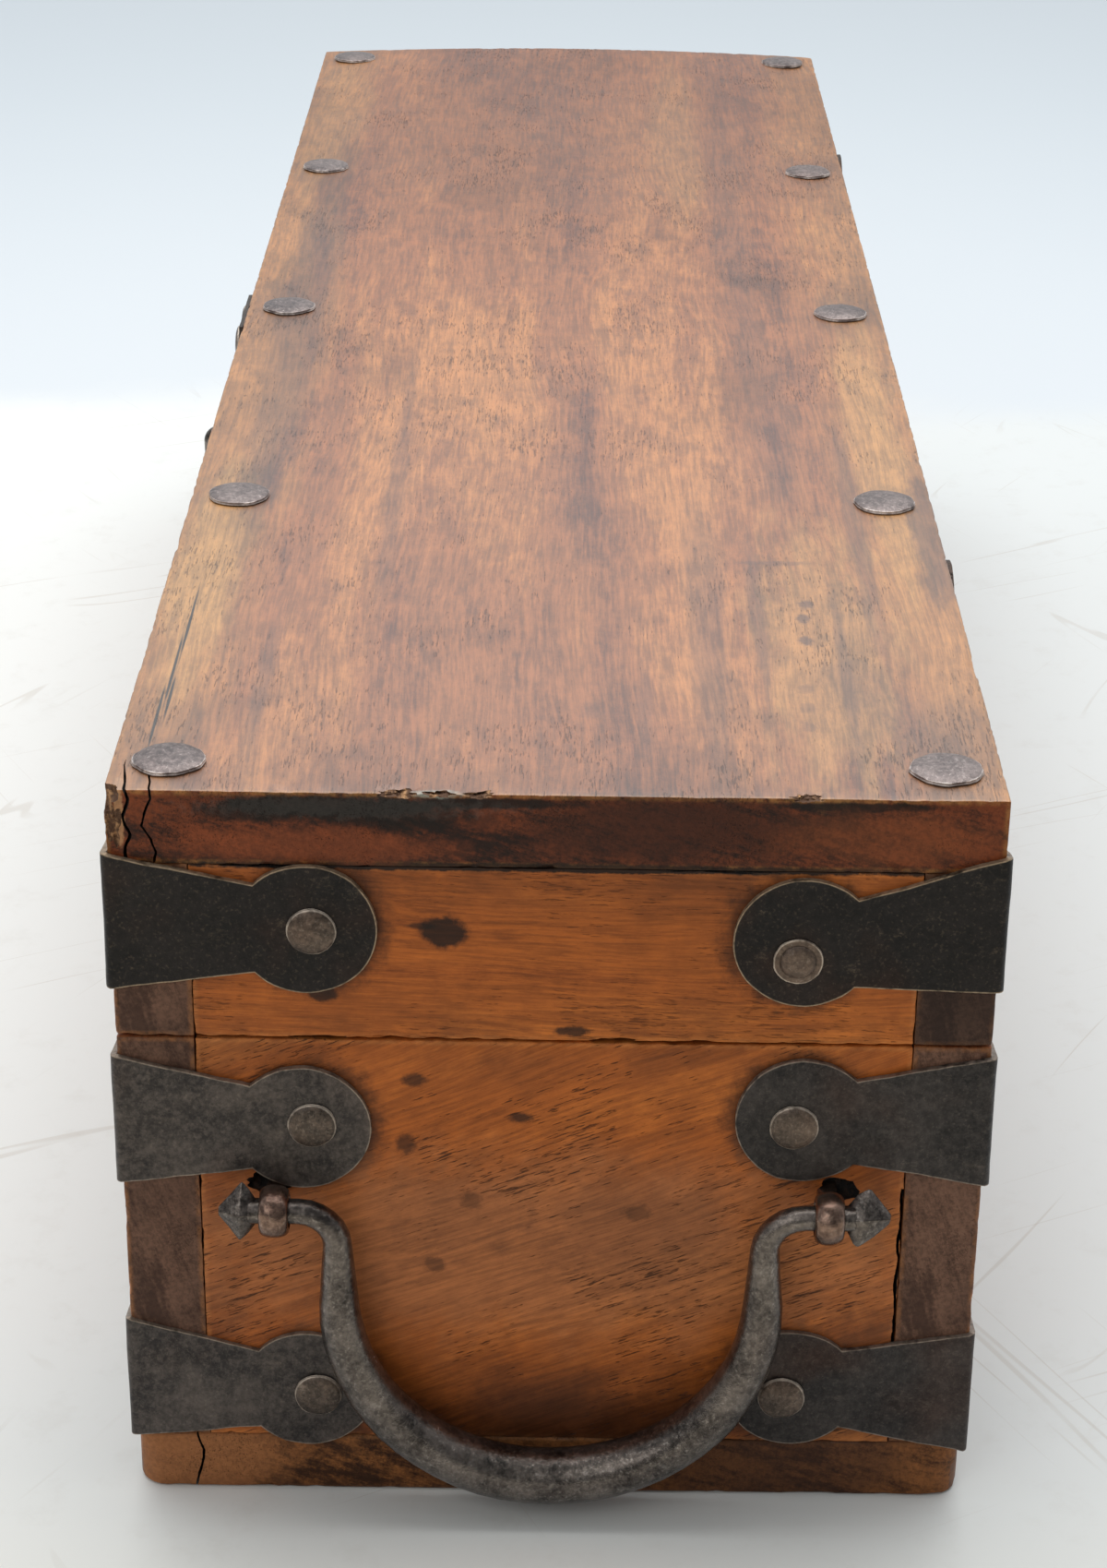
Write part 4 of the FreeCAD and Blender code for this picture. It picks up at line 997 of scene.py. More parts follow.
@dataclass
class Board:
    """One worn board, cut from its node's own box."""

    node: str
    body: str
    slot: str
    finish: WoodFinish
    seed: float
    step: float = 0.006
    corner: float = 0.0
    crown: float = 0.0
    ragged: float = 0.0006
    dent: float = 0.00008
    ease: float = 0.0011
    stains: tuple[Stain, ...] = ()
    cuts: tuple[Crack | Chip, ...] = ()
    studs: bool = False
    low: Vector = field(init=False)
    high: Vector = field(init=False)

    def __post_init__(self) -> None:
        """Take the board's size from the frame."""
        self.low, self.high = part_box(self.node)

    def blank(self) -> Mesh:
        """Saw the board: a block, divided for its wear, with rounded corners.

        Returns:
            The block.
        """
        bm = bmesh.new()
        add_box(bm, self.low, self.high)
        if self.corner:
            upright = [edge for edge in bm.edges
                       if abs(edge.verts[0].co.z - edge.verts[1].co.z) > TOUCH]
            bmesh.ops.bevel(bm, geom=upright, offset=self.corner, offset_type="OFFSET",
                            segments=6, profile=0.5, affect="EDGES", material=-1)
            for axis in (0, 1, 2):
                cut_grid(bm, axis, self.step)
            return bm
        size = self.high - self.low
        for axis in (0, 1, 2):
            edges = [edge for edge in bm.edges
                     if abs(edge.verts[0].co[axis] - edge.verts[1].co[axis]) > SLIVER]
            count = max(1, round(size[axis] / (self.step if axis else self.step * 1.3)))
            if count > 1:
                bmesh.ops.subdivide_edges(bm, edges=edges, cuts=count - 1, use_grid_fill=True)
        return bm

    def divide_arrises(self, bm: Mesh) -> None:
        """Divide the arrises finely, so that they can be nibbled.

        Args:
            bm: The block.
        """
        arrises = [edge for edge in bm.edges if len(edge.link_faces) == 2
                   and edge.calc_face_angle(0.0) > ARRIS_ANGLE
                   and edge.calc_length() > self.step / 2
                   and {self.lie(face) for face in edge.link_faces} != {Lie.JOINT}]
        bmesh.ops.subdivide_edges(bm, edges=arrises, cuts=3)

    def lie(self, face: bmesh.types.BMFace) -> Lie:
        """Say where a face lies.

        Args:
            face: The face.

        Returns:
            Where it lies.
        """
        spot = face.calc_center_median()
        if min(abs(spot.z - rim) for rim in RIM) < TOUCH:
            return Lie.RIM
        if (abs(abs(spot.x) - HALF_LENGTH) < TOUCH or abs(abs(spot.y) - HALF_WIDTH) < TOUCH
                or abs(spot.z - LID_TOP) < TOUCH or spot.z < TOUCH or self.corner):
            return Lie.OUTER
        return Lie.JOINT

    def ease_edges(self, bm: Mesh) -> Mesh:
        """Round the arrises: most on the chest's outside, least in its joints.

        Args:
            bm: The block; it is freed.

        Returns:
            The eased block.
        """
        weight = bm.edges.layers.float.new("bevel_weight_edge")
        for edge in bm.edges:
            if len(edge.link_faces) == 2 and edge.calc_face_angle(0.0) > ARRIS_ANGLE:
                lies = {self.lie(face) for face in edge.link_faces}
                edge[weight] = 1.0 if lies == {Lie.OUTER} else 0.45 if Lie.RIM in lies else 0.22
        settings = {"limit_method": "WEIGHT", "width": self.ease, "segments": 3,
                    "use_clamp_overlap": True}
        return modified(bm, [("BEVEL", settings)], BOARD_SLOTS)

    def bow(self, spot: Vector) -> float:
        """Give the rise of the bowed top face at a place: most at the left end."""
        lift = self.crown * (1 - (spot.y / STUD_ROW) ** 2) * fade(spot.x, -HALF_LENGTH, 0.1)
        return lift * (spot.z - self.low.z) / (self.high.z - self.low.z)

    def wear(self, bm: Mesh) -> None:
        """Rub and dent the faces, and nibble the arrises, always inwards.

        Args:
            bm: The eased block.
        """
        bm.normal_update()
        middle, half = (self.low + self.high) / 2, (self.high - self.low) / 2
        for vert in bm.verts:
            spot = vert.co.copy()
            gaps = sorted(half[axis] - abs(spot[axis] - middle[axis]) for axis in range(3))
            dent = self.dent * (1 + ripple(spot, 26.0, self.seed))
            bite = max(0.0, crumple(spot, 230.0, self.seed) - 0.1)
            gouge = max(0.0, crumple(spot, 62.0, self.seed + 3) - 0.35)
            nibble = self.ragged * (bite + 1.6 * gouge) * fade(gaps[1], 0.0, 0.003)
            vert.co -= vert.normal * (dent + nibble)
            vert.co.z += self.bow(spot)

    def cut(self, bm: Mesh) -> Mesh:
        """Cut the board's cracks and chips.

        Args:
            bm: The worn board; it is freed.

        Returns:
            The cut board.
        """
        tools = [loose_object(cut.cutter(), "cutter", BOARD_SLOTS) for cut in self.cuts]
        steps = [("BOOLEAN", {"operation": "DIFFERENCE", "object": tool, "solver": "EXACT"})
                 for tool in tools]
        bm = modified(bm, steps, BOARD_SLOTS)
        for tool in tools:
            discard(tool)
        broken = sum(face.material_index >= OLD_SHADED_BREAK for face in bm.faces)
        log.info("%s: %d broken faces from %d cuts", self.node, broken, len(tools))
        return bm

    def build(self) -> None:
        """Make the board."""
        bm = self.blank()
        self.divide_arrises(bm)
        bm = self.ease_edges(bm)
        self.wear(bm)
        bm.normal_update()
        along = self.finish.grain.value[0]
        for face in bm.faces:
            face.material_index = CUT_END if abs(face.normal[along]) > 0.6 else FACE
        if self.cuts:
            bm = self.cut(bm)
        materials = [
            self.finish.material(f"{self.node}_face", self.low, self.high, self.stains,
                                 end=False, studs=self.studs),
            self.finish.material(f"{self.node}_cut_end", self.low, self.high, self.stains,
                                 end=True, studs=False),
            SHADED_BROKEN_WOOD.material(), SPLINTERED.material()]
        finished(bm, f"{self.node}_worn", self.body, materials, self.node,
                 crease=50.0)


@dataclass(frozen=True)
class BrokenWood:
    """Raw fibres inside a crack or a chip; the shaded broken wood's near black is painted shade in
    the hollow, with old dirt.
    """

    name: str
    deep: Colour
    fresh: Colour

    def material(self) -> Material:
        """Make the material, once for all boards.

        Returns:
            The material.
        """
        known = bpy.data.materials.get(self.name)
        if known:
            return known
        shader = Shader(self.name)
        tone = shader.noise(shader.place, (60.0, 500.0, 500.0), 4.0, 0.65)
        colour = shader.blend(shader.smooth(tone, 0.45, 0.7), self.deep, self.fresh)
        shader.give("Base Color", colour)
        shader.give("Roughness", 0.85)
        shader.bump(tone, 0.0008)
        return shader.material


# Near black: painted shade inside the crack and chip hollows, with old dirt.
SHADED_BROKEN_WOOD = BrokenWood("broken_wood", tint(14, 9, 7), tint(58, 38, 26))
SPLINTERED = BrokenWood("splintered_wood", tint(92, 64, 45), tint(196, 150, 106))


# ---------------------------------------------------------------- ironwork

class Facing(Enum):
    """The way a piece of ironwork looks out of the chest."""

    RIGHT = (1, 0, 0)
    LEFT = (-1, 0, 0)
    FRONT = (0, -1, 0)
    REAR = (0, 1, 0)
    UP = (0, 0, 1)
    DOWN = (0, 0, -1)


@dataclass(frozen=True)
class NailForm:
    """A forged nail: a domed head, with or without a flange, and a shank."""

    head: float
    dome: float
    shank: float
    depth: float
    lip: float = 0.0004
    flange: float = 0.0
    ragged: float = 0.03
    dents: float = 0.12

    def profile(self) -> list[tuple[float, float]]:
        """Give the half outline from the foot to the crown.

        Returns:
            Each point's radius and height.
        """
        foot = -self.depth
        points = [(0.0, foot), (self.shank, foot + 2 * self.shank), (self.shank, 0.0),
                  (self.head * 0.97, 0.0), (self.head, self.lip * 0.5),
                  (self.head * 0.975, self.lip)]
        inner = self.head * (1 - self.flange)
        if self.flange:
            points += [(inner * 1.06, self.lip * 1.25), (inner, self.lip * 1.1)]
        for step in range(1, 8):
            turn = math.radians(90 * step / 7)
            points.append((inner * math.cos(turn) ** 0.8 if step < 7 else 0.0,
                           self.lip + (self.dome - self.lip) * math.sin(turn) ** 1.15))
        return points

    def add(self, bm: Mesh, spot: Vector, facing: Facing, seat: float,
            seed: float) -> None:
        """Forge one nail into a mesh.

        Args:
            bm: The mesh to add to.
            spot: Where the nail enters the wood.
            facing: The way its head looks.
            seat: The height of its seat above the wood.
            seed: What makes it differ from the other nails.
        """
        work = bmesh.new()
        verts = [work.verts.new((radius, 0.0, height)) for radius, height in self.profile()]
        edges = [work.edges.new(pair) for pair in zip(verts, verts[1:])]
        bmesh.ops.spin(work, geom=verts + edges, axis=(0, 0, 1), cent=(0, 0, 0),
                       dvec=(0, 0, 0), angle=math.tau, steps=30, use_merge=True,
                       use_duplicate=False)
        settle(work)
        for vert in work.verts:
            if vert.co.z >= 0:
                across = math.hypot(vert.co.x, vert.co.y) / self.head
                flat = Vector((vert.co.x, vert.co.y, 0.0)).normalized()
                pull = self.ragged * (0.6 + ripple(flat, 1.6, seed)
                                      + 0.7 * ripple(flat, 6.0, seed)) * across
                vert.co.x *= 1 - max(0.0, pull)
                vert.co.y *= 1 - max(0.0, pull)
                press = self.dents * (0.7 + crumple(vert.co, 260.0, seed)) * (1.2 - across)
                vert.co.z *= 1 - max(0.0, press)
        # A thin pale ring round the head's rim: worn edge, partly a painted highlight.
        wear = work.verts.layers.float.new("wear")
        for vert in work.verts:
            away = math.hypot(vert.co.x, vert.co.y)
            vert[wear] = fade(abs(away - self.head * 0.97), 0.0, 0.001)
        turn = Vector(facing.value).to_track_quat("Z", "X").to_matrix().to_4x4()
        spin = Matrix.Rotation(seed * 2.4, 4, "Z")
        lift = Matrix.Translation(Vector((0, 0, seat)))
        for vert in work.verts:
            if vert.co.z < 0:
                vert.co.z -= seat
        bmesh.ops.transform(work, matrix=Matrix.Translation(spot) @ turn @ lift @ spin,
                            verts=work.verts)
        join(bm, work)


STRAP_NAIL = NailForm(0.0058, 0.0019, 0.0016, 0.013)
RING_NAIL = NailForm(0.0058, 0.0019, 0.0016, 0.013, lip=0.0006, flange=0.28)
STUD = NailForm(0.0085, 0.0020, 0.002, 0.036, lip=0.0007, ragged=0.06, dents=0.05)
PEG = NailForm(0.004, 0.0013, 0.0016, 0.038)


@dataclass
class NailGroup:
    """All nails of one frame node, as one piece."""

    node: str
    body: str
    form: NailForm
    finish: IronFinish
    spots: list[tuple[Vector, Facing]]
    seat: float = 0.0
    ringed: tuple[int, ...] = ()

    def build(self) -> None:
        """Make the nails."""
        bm = bmesh.new()
        bm.verts.layers.float.new("wear")
        for index, (spot, facing) in enumerate(self.spots):
            form = RING_NAIL if index in self.ringed else self.form
            form.add(bm, spot, facing, self.seat, 1.0 + index * 1.37 + len(self.node))
        finished(bm, f"{self.node}_forged", self.body,
                 [self.finish.material()], self.node, crease=50.0)


class Level(Enum):
    """A strap's height on the chest, as the start of its node's name."""

    LID = "lid"
    UPPER = "case_upper"
    LOWER = "case_lower"


@dataclass(frozen=True)
class StrapSet:
    """The height, droop and nail slip of the straps on one side of a corner."""

    middle: float
    droop: float
    slip: float


STRAP_SETS = {
    (Level.LID, Side.FRONT): StrapSet(0.1562, 0.0013, 0.0002),
    (Level.LID, Side.REAR): StrapSet(0.1580, 0.0050, 0.0043),
    (Level.UPPER, Side.FRONT): StrapSet(0.1047, 0.0015, -0.0010),
    (Level.UPPER, Side.REAR): StrapSet(0.1069, 0.0002, 0.0014),
    (Level.LOWER, Side.FRONT): StrapSet(0.0330, 0.0030, 0.0010),
    (Level.LOWER, Side.REAR): StrapSet(0.0312, -0.0010, 0.0024),
}


@dataclass
class Strap:
    """An iron strap bent round a corner, with a round lobe on each face."""

    level: Level
    end: End
    side: Side
    finish: IronFinish
    gauge: float = STRAP_GAUGE
    bend: float = 0.0018
    root: float = 0.017
    neck: float = 0.011
    reach: float = 0.0435
    lobe: float = 0.016
    nail_reach: float = 0.0445
    hammer: float = 0.00016
    waver: float = 0.00035
    lift: float = 0.0003
    sink: float = 0.0

    @property
    def sizes(self) -> StrapSet:
        """Give the strap's own heights: opposite corners share one set."""
        side = self.side if self.end is End.RIGHT else Side(-self.side.value)
        return STRAP_SETS[self.level, side]

    @property
    def node(self) -> str:
        """Name the frame's node."""
        return f"{self.level.value}_strap_{self.side.word}_{self.end.word}"

    @property
    def neck_along(self) -> float:
        """Give the distance from the corner to where the lobe starts."""
        return self.reach - math.sqrt(self.lobe ** 2 - self.neck ** 2)

    @property
    def lobe_centre(self) -> Vector:
        """Place the middle of the lobe on the end face."""
        return Vector((self.end.value * HALF_LENGTH, self.side.value * (HALF_WIDTH - self.reach),
                       self.sizes.middle - self.sizes.droop))

    def nails(self) -> list[tuple[Vector, Facing]]:
        """Place the strap's two nails.

        Returns:
            Each nail's place, and the way its head looks.
        """
        sizes = self.sizes
        height = sizes.middle - sizes.droop - sizes.slip
        to_end, to_side = self.end.value, self.side.value
        return [
            (Vector((to_end * HALF_LENGTH, to_side * (HALF_WIDTH - self.nail_reach), height)),
             Facing[self.end.name]),
            (Vector((to_end * (HALF_LENGTH - self.nail_reach), to_side * HALF_WIDTH, height)),
             Facing[self.side.name])]

    def edges_at(self, along: float) -> tuple[float, float]:
        """Give the strap's lower and upper edge at a distance from the corner.

        Args:
            along: The distance from the corner.

        Returns:
            The two heights from the strap's middle line.
        """
        droop = self.sizes.droop
        if along <= self.neck_along:
            part = along / self.neck_along
            return (-self.root + (self.root - self.neck - droop) * part,
                    self.root + (self.neck - self.root - droop) * part)
        half = math.sqrt(max(self.lobe ** 2 - (along - self.reach) ** 2, 0.0))
        return -droop - half, -droop + half

    def stations(self) -> list[float]:
        """List distances from the bend to the tip, closer round the lobe.

        Returns:
            The distances.
        """
        flat = [self.bend + (self.neck_along - self.bend) * step / 17 for step in range(18)]
        first = math.acos((self.reach - self.neck_along) / self.lobe)
        rounded = [self.reach - self.lobe * math.cos(first + (math.pi - first) * step / 22)
                   for step in range(1, 23)]
        return flat + rounded

    def columns(self) -> list[tuple[Vector, Vector, float]]:
        """List the strip's columns as place, outward direction and distance.

        Returns:
            The columns from one tip to the other.
        """
        out_x = HALF_LENGTH + self.gauge
        out_y = HALF_WIDTH + self.gauge
        stations = self.stations()
        columns = []
        for along in reversed(stations):
            columns.append((Vector((out_x, out_y - along, 0)), Vector((1, 0, 0)), along))
        for step in (1, 2, 3):
            turn = math.radians(90 * step / 4)
            out = Vector((math.cos(turn), math.sin(turn), 0))
            centre = Vector((out_x - self.bend, out_y - self.bend, 0))
            columns.append((centre + out * self.bend, out, self.bend * 0.5))
        for along in stations:
            columns.append((Vector((out_x - along, out_y, 0)), Vector((0, 1, 0)), along))
        flip = Vector((self.end.value, self.side.value, 1))
        return [(place * flip, out * flip, along) for place, out, along in columns]

    def build(self) -> None:
        """Make the strap."""
        seed = 3.1 * len(self.node) + sum(map(ord, self.node)) * 0.37
        columns = self.columns()
        rows = (-1, -0.95, -0.85, -0.68, -0.45, -0.22, 0, 0.22, 0.45, 0.68, 0.85, 0.95, 1)
        bm = bmesh.new()
        bmesh.ops.create_grid(bm, x_segments=len(columns) - 1, y_segments=len(rows) - 1, size=1.0)
        wear = bm.verts.layers.float.new("wear")
        middle = self.sizes.middle
        for vert in bm.verts:
            place, out, along = columns[round((vert.co.x + 1) / 2 * (len(columns) - 1))]
            share = rows[round((vert.co.y + 1) / 2 * (len(rows) - 1))]
            low, high = self.edges_at(along)
            height = (low + high) / 2 + share * (high - low) / 2
            rim = min(height - low, high - height)
            if along > self.neck_along:
                rim = self.lobe - math.hypot(along - self.reach, height + self.sizes.droop)
            spot = place + Vector((0, 0, middle + height))
            uneven = self.waver * crumple(spot, 90.0, seed) * fade(rim, 0.0, 0.002)
            uneven *= min((high - low) / 0.008, 1.0)
            spot.z += uneven * (1 if share > 0 else -1)
            press = self.hammer * (crumple(spot, 70.0, seed + 5) - self.sink)
            curl = self.lift * max(0.0, ripple(spot, 45.0, seed + 9)) * fade(rim, 0.0, 0.005)
            # Pale line along the strap's outline: worn edge, partly a painted highlight.
            vert[wear] = 1 - min(max(rim, 0.0) / 0.0012, 1.0)
            vert.co = spot + out * (press + curl)
        bmesh.ops.remove_doubles(bm, verts=bm.verts, dist=SLIVER)
        bm.normal_update()
        sample = min(bm.faces, key=lambda face: abs(face.calc_center_median().z - middle)
                     + abs(abs(face.calc_center_median().x) - HALF_LENGTH))
        outward = Vector((sample.calc_center_median().x, 0, 0))
        if sample.normal.dot(outward) < 0:
            bmesh.ops.reverse_faces(bm, faces=bm.faces)
        bm = modified(bm, [
            ("SOLIDIFY", {"thickness": self.gauge, "offset": -1.0}),
            ("BEVEL", {"width": 0.00045, "segments": 2, "limit_method": "ANGLE",
                       "angle_limit": math.radians(50)})])
        body = "lid" if self.level is Level.LID else "case"
        finished(bm, f"{self.node}_forged", body, [self.finish.material()],
                 self.node, crease=45.0)


@dataclass
class Reworked:
    """A small iron fitting taken from its node, eased, hammered and rounded."""

    node: str
    body: str
    slot: str
    finish: IronFinish
    arris: float = 0.0003
    step: float = 0.003
    hammer: float = 0.0001

    def build(self) -> None:
        """Make the fitting."""
        bm = bmesh.new()
        bm.from_mesh(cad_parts[self.node].data)
        bmesh.ops.remove_doubles(bm, verts=bm.verts, dist=5e-6)
        bmesh.ops.dissolve_limit(bm, angle_limit=math.radians(1), verts=bm.verts,
                                 edges=bm.edges)
        sharp = [edge for edge in bm.edges if len(edge.link_faces) == 2
                 and edge.calc_face_angle(0.0) > math.radians(40)]
        if self.arris:
            bmesh.ops.bevel(bm, geom=sharp, offset=self.arris, offset_type="OFFSET",
                            segments=2, profile=0.5, affect="EDGES", material=-1,
                            clamp_overlap=True)
        for axis in (0, 2):
            cut_grid(bm, axis, self.step)
        bm.normal_update()
        beat(bm.verts, self.hammer, 1.0, 110.0, len(self.node) * 1.9)
        finished(bm, f"{self.node}_forged", self.body, [self.finish.material()],
                 self.node, crease=35.0)


@dataclass
class Eye:
    """A ring with a square shank through the end board, clinched inside."""

    end: End
    side: Side
    finish: IronFinish
    stand: float = AXIS_OUT
    spread: float = 0.064
    height: float = AXIS_HEIGHT
    outer: float = 0.0064
    bore: float = 0.0038
    width: float = 0.0072
    shank: float = 0.0024
    board: float = 0.018
    clinch: float = 0.011
    clinch_gauge: float = 0.0022
    grid: float = 0.0016
    arris: float = 0.0005
    hammer: float = 0.00022

    def ring(self, bm: Mesh) -> None:
        """Roll the ring from a bar that is round outside and flat inside.

        Args:
            bm: The mesh to add to.
        """
        half = self.width / 2
        points = [(self.bore, -half * 0.78), (self.bore, half * 0.78)]
        for step in range(13):
            turn = math.radians(90 - 180 * step / 12)
            points.append((self.bore + 0.0003 + (self.outer - self.bore - 0.0003)
                           * math.cos(turn) ** 0.75, half * math.sin(turn)))
        verts = [bm.verts.new((radius, y, 0.0)) for radius, y in points]
        edges = [bm.edges.new(pair) for pair in zip(verts, verts[1:] + verts[:1])]
        bmesh.ops.spin(bm, geom=verts + edges, axis=(0, 1, 0), cent=(0, 0, 0), dvec=(0, 0, 0),
                       angle=math.tau, steps=36, use_merge=True, use_duplicate=False)

    def build(self) -> None:
        """Make the eye."""
        bm = bmesh.new()
        self.ring(bm)
        inner = -self.stand - self.board
        start = -(self.bore + self.outer) / 2
        blocks = (((inner, -self.shank, -self.shank), (start, self.shank, self.shank)),
                  ((inner - self.clinch_gauge, -self.shank, -self.shank - self.clinch),
                   (inner, self.shank, self.shank + self.clinch)))
        for low, high in blocks:
            part = bmesh.new()
            add_box(part, Vector(low), Vector(high))
            for axis in (0, 1, 2):
                cut_grid(part, axis, self.grid)
            join(bm, modified(part, [("BEVEL", {"width": self.arris, "segments": 2,
                                                "limit_method": "ANGLE"})]))
        settle(bm)
        seed = 4.0 + len(self.side.name) * 2.2 + len(self.end.name)
        beat(bm.verts, self.hammer, 0.8, 150.0, seed)
        if self.end is End.LEFT:
            bmesh.ops.rotate(bm, cent=(0, 0, 0), matrix=Matrix.Rotation(math.pi, 3, "Z"),
                             verts=bm.verts)
        place = (self.end.value * (HALF_LENGTH + self.stand), self.side.value * self.spread,
                 self.height)
        bmesh.ops.translate(bm, vec=place, verts=bm.verts)
        node = f"handle_eye_{self.side.word}_{self.end.word}"
        finished(bm, f"{node}_forged", "case", [self.finish.material()],
                 node, crease=40.0)


@dataclass(frozen=True)
class LeafForm:
    """The shape of one flattened end of a handle."""

    sign: int
    length: float
    widest: float
    skew: float
    twist: float

    def sections(self) -> tuple[Triple, ...]:
        """List the leaf's sections as distance from its root, half depth and half height.

        Returns:
            The sections.
        """
        far = self.length - self.widest
        return ((0.0, 0.0026, 0.0030), (self.widest * 0.55, 0.0031, 0.0060),
                (self.widest * 0.95, 0.0033, 0.0076), (self.widest * 1.1, 0.0033, 0.0074),
                (self.widest + far * 0.5, 0.0023, 0.0044), (self.length, 0.0009, 0.0012))


LEAVES = (LeafForm(1, 0.0100, 0.0038, 0.18, -0.4), LeafForm(-1, 0.0088, 0.0036, -0.06, -0.12))


@dataclass
class Bail:
    """A drop handle: thick in the grip, bent out through the eyes to two leaves."""

    end: End
    finish: IronFinish
    axis_out: float = AXIS_OUT
    axis_height: float = AXIS_HEIGHT
    half_width: float = 0.0495
    bend: float = 0.009
    shoulder: float = 0.0245
    reach: float = 0.0699
    leaf_start: float = 0.0681
    radii: tuple[float, float, float, float] = (0.003, 0.0035, 0.0048, 0.0069)
    hammer: float = 0.0002

    def stations(self) -> list[tuple[float, float, float, float]]:
        """List the bar's sections as Y, Z, tilt in degrees and radius.

        Returns:
            The sections from one end to the other.
        """
        thin, bent, shoulder, grip = self.radii
        out = self.half_width + self.bend
        half = [(self.reach - (self.reach - out) * step / 3, 0.0, 90.0, thin)
                for step in range(3)]
        for step in range(0, 91, 15):
            turn = math.radians(step)
            half.append((out - self.bend * math.sin(turn), self.bend * (math.cos(turn) - 1),
                         90.0 + step, thin + (bent - thin) * step / 90))
        for step in (1, 2, 3, 4):
            part = step / 5
            height = -self.bend - (self.shoulder - self.bend) * part
            half.append((self.half_width, height, 180.0, bent + (shoulder - bent) * part))
        for step in range(0, 91, 6):
            turn = math.radians(step)
            half.append((self.half_width * math.cos(turn),
                         -self.shoulder - self.half_width * math.sin(turn), 180.0 - step,
                         shoulder + (grip - shoulder) * math.sin(turn)))
        other = [(-y, z, 180.0 - tilt, radius) for y, z, tilt, radius in reversed(half[:-1])]
        return half + other

    def bar(self, bm: Mesh) -> None:
        """Draw the bar out along its stations.

        Args:
            bm: The mesh to add to.
        """
        rings = []
        for y, z, tilt, radius in self.stations():
            turn = Matrix.Rotation(math.radians(tilt), 4, "X")
            ring = bmesh.ops.create_circle(bm, cap_ends=False, radius=radius, segments=24,
                                           matrix=Matrix.Translation((0.0, y, z)) @ turn)
            rings.append(ring["verts"])
        skin(bm, rings)

    def leaf(self, form: LeafForm) -> Mesh:
        """Flatten one end of the bar to a faceted leaf.

        Args:
            form: The leaf's shape.

        Returns:
            The leaf.
        """
        bm = bmesh.new()
        rings = []
        for shift, depth, height in form.sections():
            ring = bmesh.ops.create_circle(bm, cap_ends=False, radius=1.0, segments=12)
            rings.append(ring["verts"])
            for vert in ring["verts"]:
                turn = math.atan2(vert.co.y, vert.co.x)
                reach = 1 / (abs(math.cos(turn)) + abs(math.sin(turn)))
                across, up = reach * math.cos(turn) * depth, reach * math.sin(turn) * height
                spot = Vector((across, self.leaf_start + shift, up))
                wave = 1 - 0.12 * max(0.0, crumple(spot, 300.0, form.length * 3000))
                lean = form.skew * spot.z * min(shift / form.widest, 1.0)
                vert.co = Vector((spot.x * wave, form.sign * (spot.y + lean), spot.z * wave))
        skin(bm, rings)
        turn = Matrix.Rotation(form.twist * self.end.value, 3, "Y")
        bmesh.ops.rotate(bm, cent=(0, 0, 0), matrix=turn, verts=bm.verts)
        settle(bm)
        return modified(bm, [("BEVEL", {"width": 0.00025, "segments": 2, "limit_method": "ANGLE",
                                        "angle_limit": math.radians(22)})])

    def build(self) -> None:
        """Make the handle."""
        bm = bmesh.new()
        self.bar(bm)
        settle(bm)
        drawn = [vert for vert in bm.verts if abs(vert.co.y) < self.half_width + self.bend]
        beat(drawn, self.hammer, 0.6, 60.0, 8.0)
        for form in LEAVES:
            join(bm, self.leaf(form))
        place = (self.end.value * (HALF_LENGTH + self.axis_out), 0, self.axis_height)
        bmesh.ops.translate(bm, vec=place, verts=bm.verts)
        name = f"{self.end.word}_bail"
        finished(bm, f"{name}_forged", name, [self.finish.material()],
                 name, crease=28.0)


# ------------------------------------------------------------- the assembly

def top_marks(*rows: tuple) -> list[Stain]:
    """List stains that lie along the top face.

    Args:
        rows: Each stain's X and Y, its reach along X and Y, and its other values.

    Returns:
        The stains.
    """
    return [Stain((x, y, LID_TOP), (long, wide, 0.004), *rest)
            for x, y, long, wide, *rest in rows]


def end_marks(*rows: tuple) -> list[Stain]:
    """List stains on the face of the right end.

    Args:
        rows: Each stain's Y and Z, its reach along X, Y and Z, and its other values.

    Returns:
        The stains.
    """
    return [Stain((HALF_LENGTH, y, z), (deep, wide, high), *rest)
            for y, z, deep, wide, high, *rest in rows]


